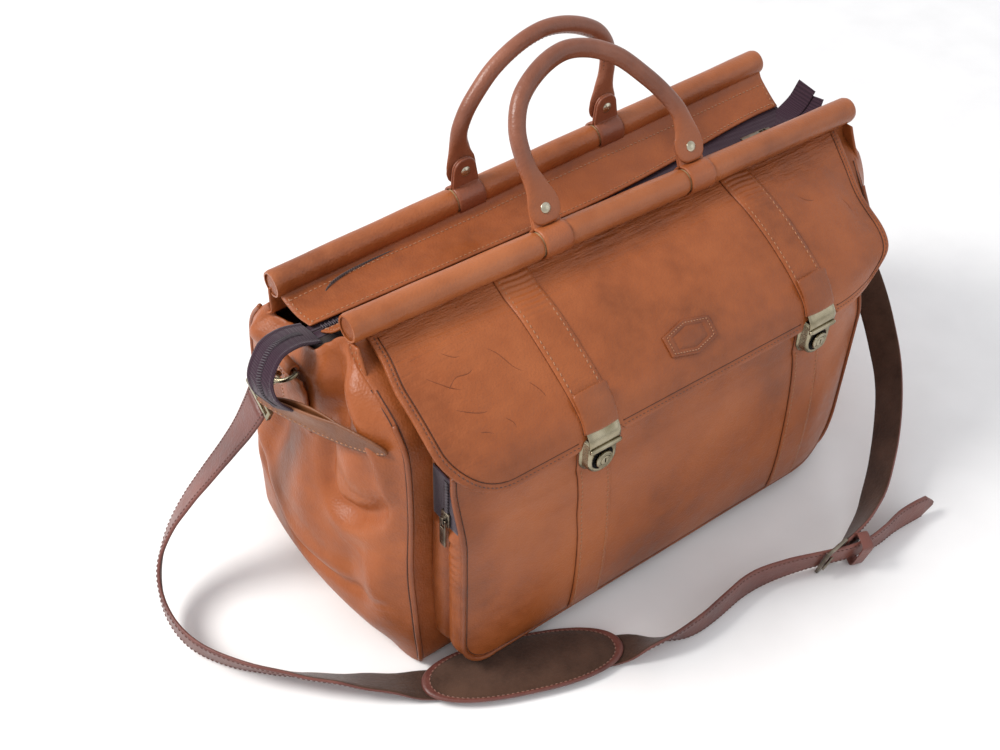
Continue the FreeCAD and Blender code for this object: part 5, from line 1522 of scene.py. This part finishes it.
def finish_nodes():
    """Materials for CAD nodes that stay, and softened edges on their metal."""
    for node, mat in CAD_LOOKS.items():
        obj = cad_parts[node]
        obj.data.materials.clear()
        obj.data.materials.append(mat)
        if mat in (BRASS, DARK_BRASS, RIVET_BRASS):
            weld = obj.modifiers.new("weld", "WELD")
            weld.merge_threshold = 0.00001
            bevel = obj.modifiers.new("bevel", "BEVEL")
            bevel.width, bevel.segments, bevel.angle_limit = 0.0003, 2, math.radians(35)
            obj.data.polygons.foreach_set("use_smooth", [True] * len(obj.data.polygons))


# Materials in use, and which of them the carried-over CAD nodes get

TAN = leather("tan_leather", (0.178, 0.042, 0.008), (0.278, 0.069, 0.0145), (0.365, 0.102, 0.026), rough=0.43)
TAN_CREASED = leather("tan_creased", (0.178, 0.042, 0.008), (0.275, 0.068, 0.0145), (0.365, 0.102, 0.027),
                      rough=0.43, crease=1.0)
TAN_DARK = leather("tan_edge", (0.15, 0.036, 0.009), (0.22, 0.056, 0.014), (0.30, 0.084, 0.024), rough=0.40)
BAR_LEATHER = leather("bar_leather", (0.20, 0.052, 0.013), (0.30, 0.082, 0.021), (0.39, 0.122, 0.04),
                      rough=0.36, coat=0.15)
HANDLE_LEATHER = leather("handle_leather", (0.135, 0.043, 0.022), (0.20, 0.066, 0.034), (0.28, 0.105, 0.06),
                         rough=0.36, coat=0.15, foot=(0.30, 0.082, 0.024))
LOOP_LEATHER = leather("loop_leather", (0.18, 0.047, 0.013), (0.28, 0.073, 0.020), (0.37, 0.11, 0.036),
                       rough=0.37, coat=0.15)
LOOP_DARK = leather("loop_dark", (0.13, 0.036, 0.016), (0.19, 0.053, 0.024), (0.26, 0.08, 0.038), rough=0.37,
                    coat=0.15)
TAB_LEATHER = leather("tab_leather", (0.10, 0.032, 0.011), (0.155, 0.052, 0.018), (0.22, 0.08, 0.03),
                      rough=0.44)
STRAP_LEATHER = leather("strap_leather", (0.075, 0.024, 0.019), (0.125, 0.038, 0.029), (0.20, 0.07, 0.052),
                        rough=0.40)
SUEDE = suede("brown_suede", (0.042, 0.019, 0.011), (0.085, 0.042, 0.026))
# Colour of the painted shade in the flap's creases
VEIN_SHADE = leather("crease_shade_tone", (0.13, 0.030, 0.008), (0.17, 0.042, 0.011), (0.22, 0.058, 0.016), rough=0.5)
# Dark lines: painted edges of the strips with painted shade at their feet, and painted shade in pressed
# grooves and along seams
EDGE_PAINT_AND_SHADE = leather("edge_paint_and_shade", (0.04, 0.011, 0.004), (0.06, 0.016, 0.006), (0.085, 0.023, 0.009),
                     rough=0.5)
TAPE = woven("zip_tape_weave", (0.022, 0.008, 0.017), (0.048, 0.021, 0.034))
COIL = brass("dark_coil", (0.02, 0.013, 0.018), (0.055, 0.04, 0.05), 0.5)
COIL.node_tree.nodes["Principled BSDF"].inputs["Metallic"].default_value = 0.0
BOARD = leather("fibre_board", (0.05, 0.035, 0.025), (0.09, 0.062, 0.045), (0.14, 0.1, 0.075), rough=0.7)
LINING = woven("lining_cloth", (0.035, 0.022, 0.021), (0.095, 0.062, 0.056), 900)
BRASS = brass("antique_brass_satin", (0.19, 0.16, 0.095), (0.37, 0.325, 0.225), 0.24)
RIVET_BRASS = brass("rivet_brass", (0.32, 0.28, 0.19), (0.62, 0.57, 0.45), 0.24)
DARK_BRASS = brass("gunmetal", (0.10, 0.08, 0.06), (0.30, 0.26, 0.2), 0.32)
# Near-black metal for the walls and floor of the lock's well
NEAR_BLACK_METAL = brass("near_black_metal", (0.01, 0.01, 0.012), (0.05, 0.045, 0.04), 0.4)
WOOD = wood("bar_wood")
THREAD = thread("tan_thread", (0.44, 0.19, 0.085))
DARK_THREAD = thread("brown_thread", (0.14, 0.042, 0.016))
STRAP_THREAD = thread("strap_thread", (0.13, 0.042, 0.03))
PAD_THREAD = thread("pad_thread", (0.26, 0.11, 0.07))

MATERIAL_NODES = (
    (WOOD, ("front_dowel", "rear_dowel")),
    (RIVET_BRASS, ("front_handle_rivets", "rear_handle_rivets")),
    (BRASS, ("key_cylinder_left", "key_cylinder_right", "lock_latch_left", "lock_latch_right", "d_ring_left",
             "d_ring_right", "snap_hooks", "snap_gate_left", "snap_gate_right")),
    (DARK_BRASS, ("zipper_slider", "zipper_pull", "pocket_zip_slider", "pocket_zip_pull", "buckle_frame",
                  "buckle_prong")),
)
CAD_LOOKS = {node: mat for mat, nodes in MATERIAL_NODES for node in nodes}

camera()
studio()
shoulder_pad()
fittings = [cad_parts["buckle_frame"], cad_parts["buckle_prong"], keeper()]
strap("long_strap", LONG_ROUTE, True, "strap_long")
strap("short_strap", SHORT_ROUTE, False, "strap_short")
body()
lining()
pocket()
pocket_zip()
flap()
badge()
mouth()
main_zip()
end_tab()
bars()
handle("front", -1, math.radians(33), -30 * MM, 3 * MM)
handle("rear", 1, 0.0, 22 * MM, 14 * MM)
ring_patches()
stay_tabs()
lock("left", -STRIP_X)
lock("right", STRIP_X)
finish_nodes()
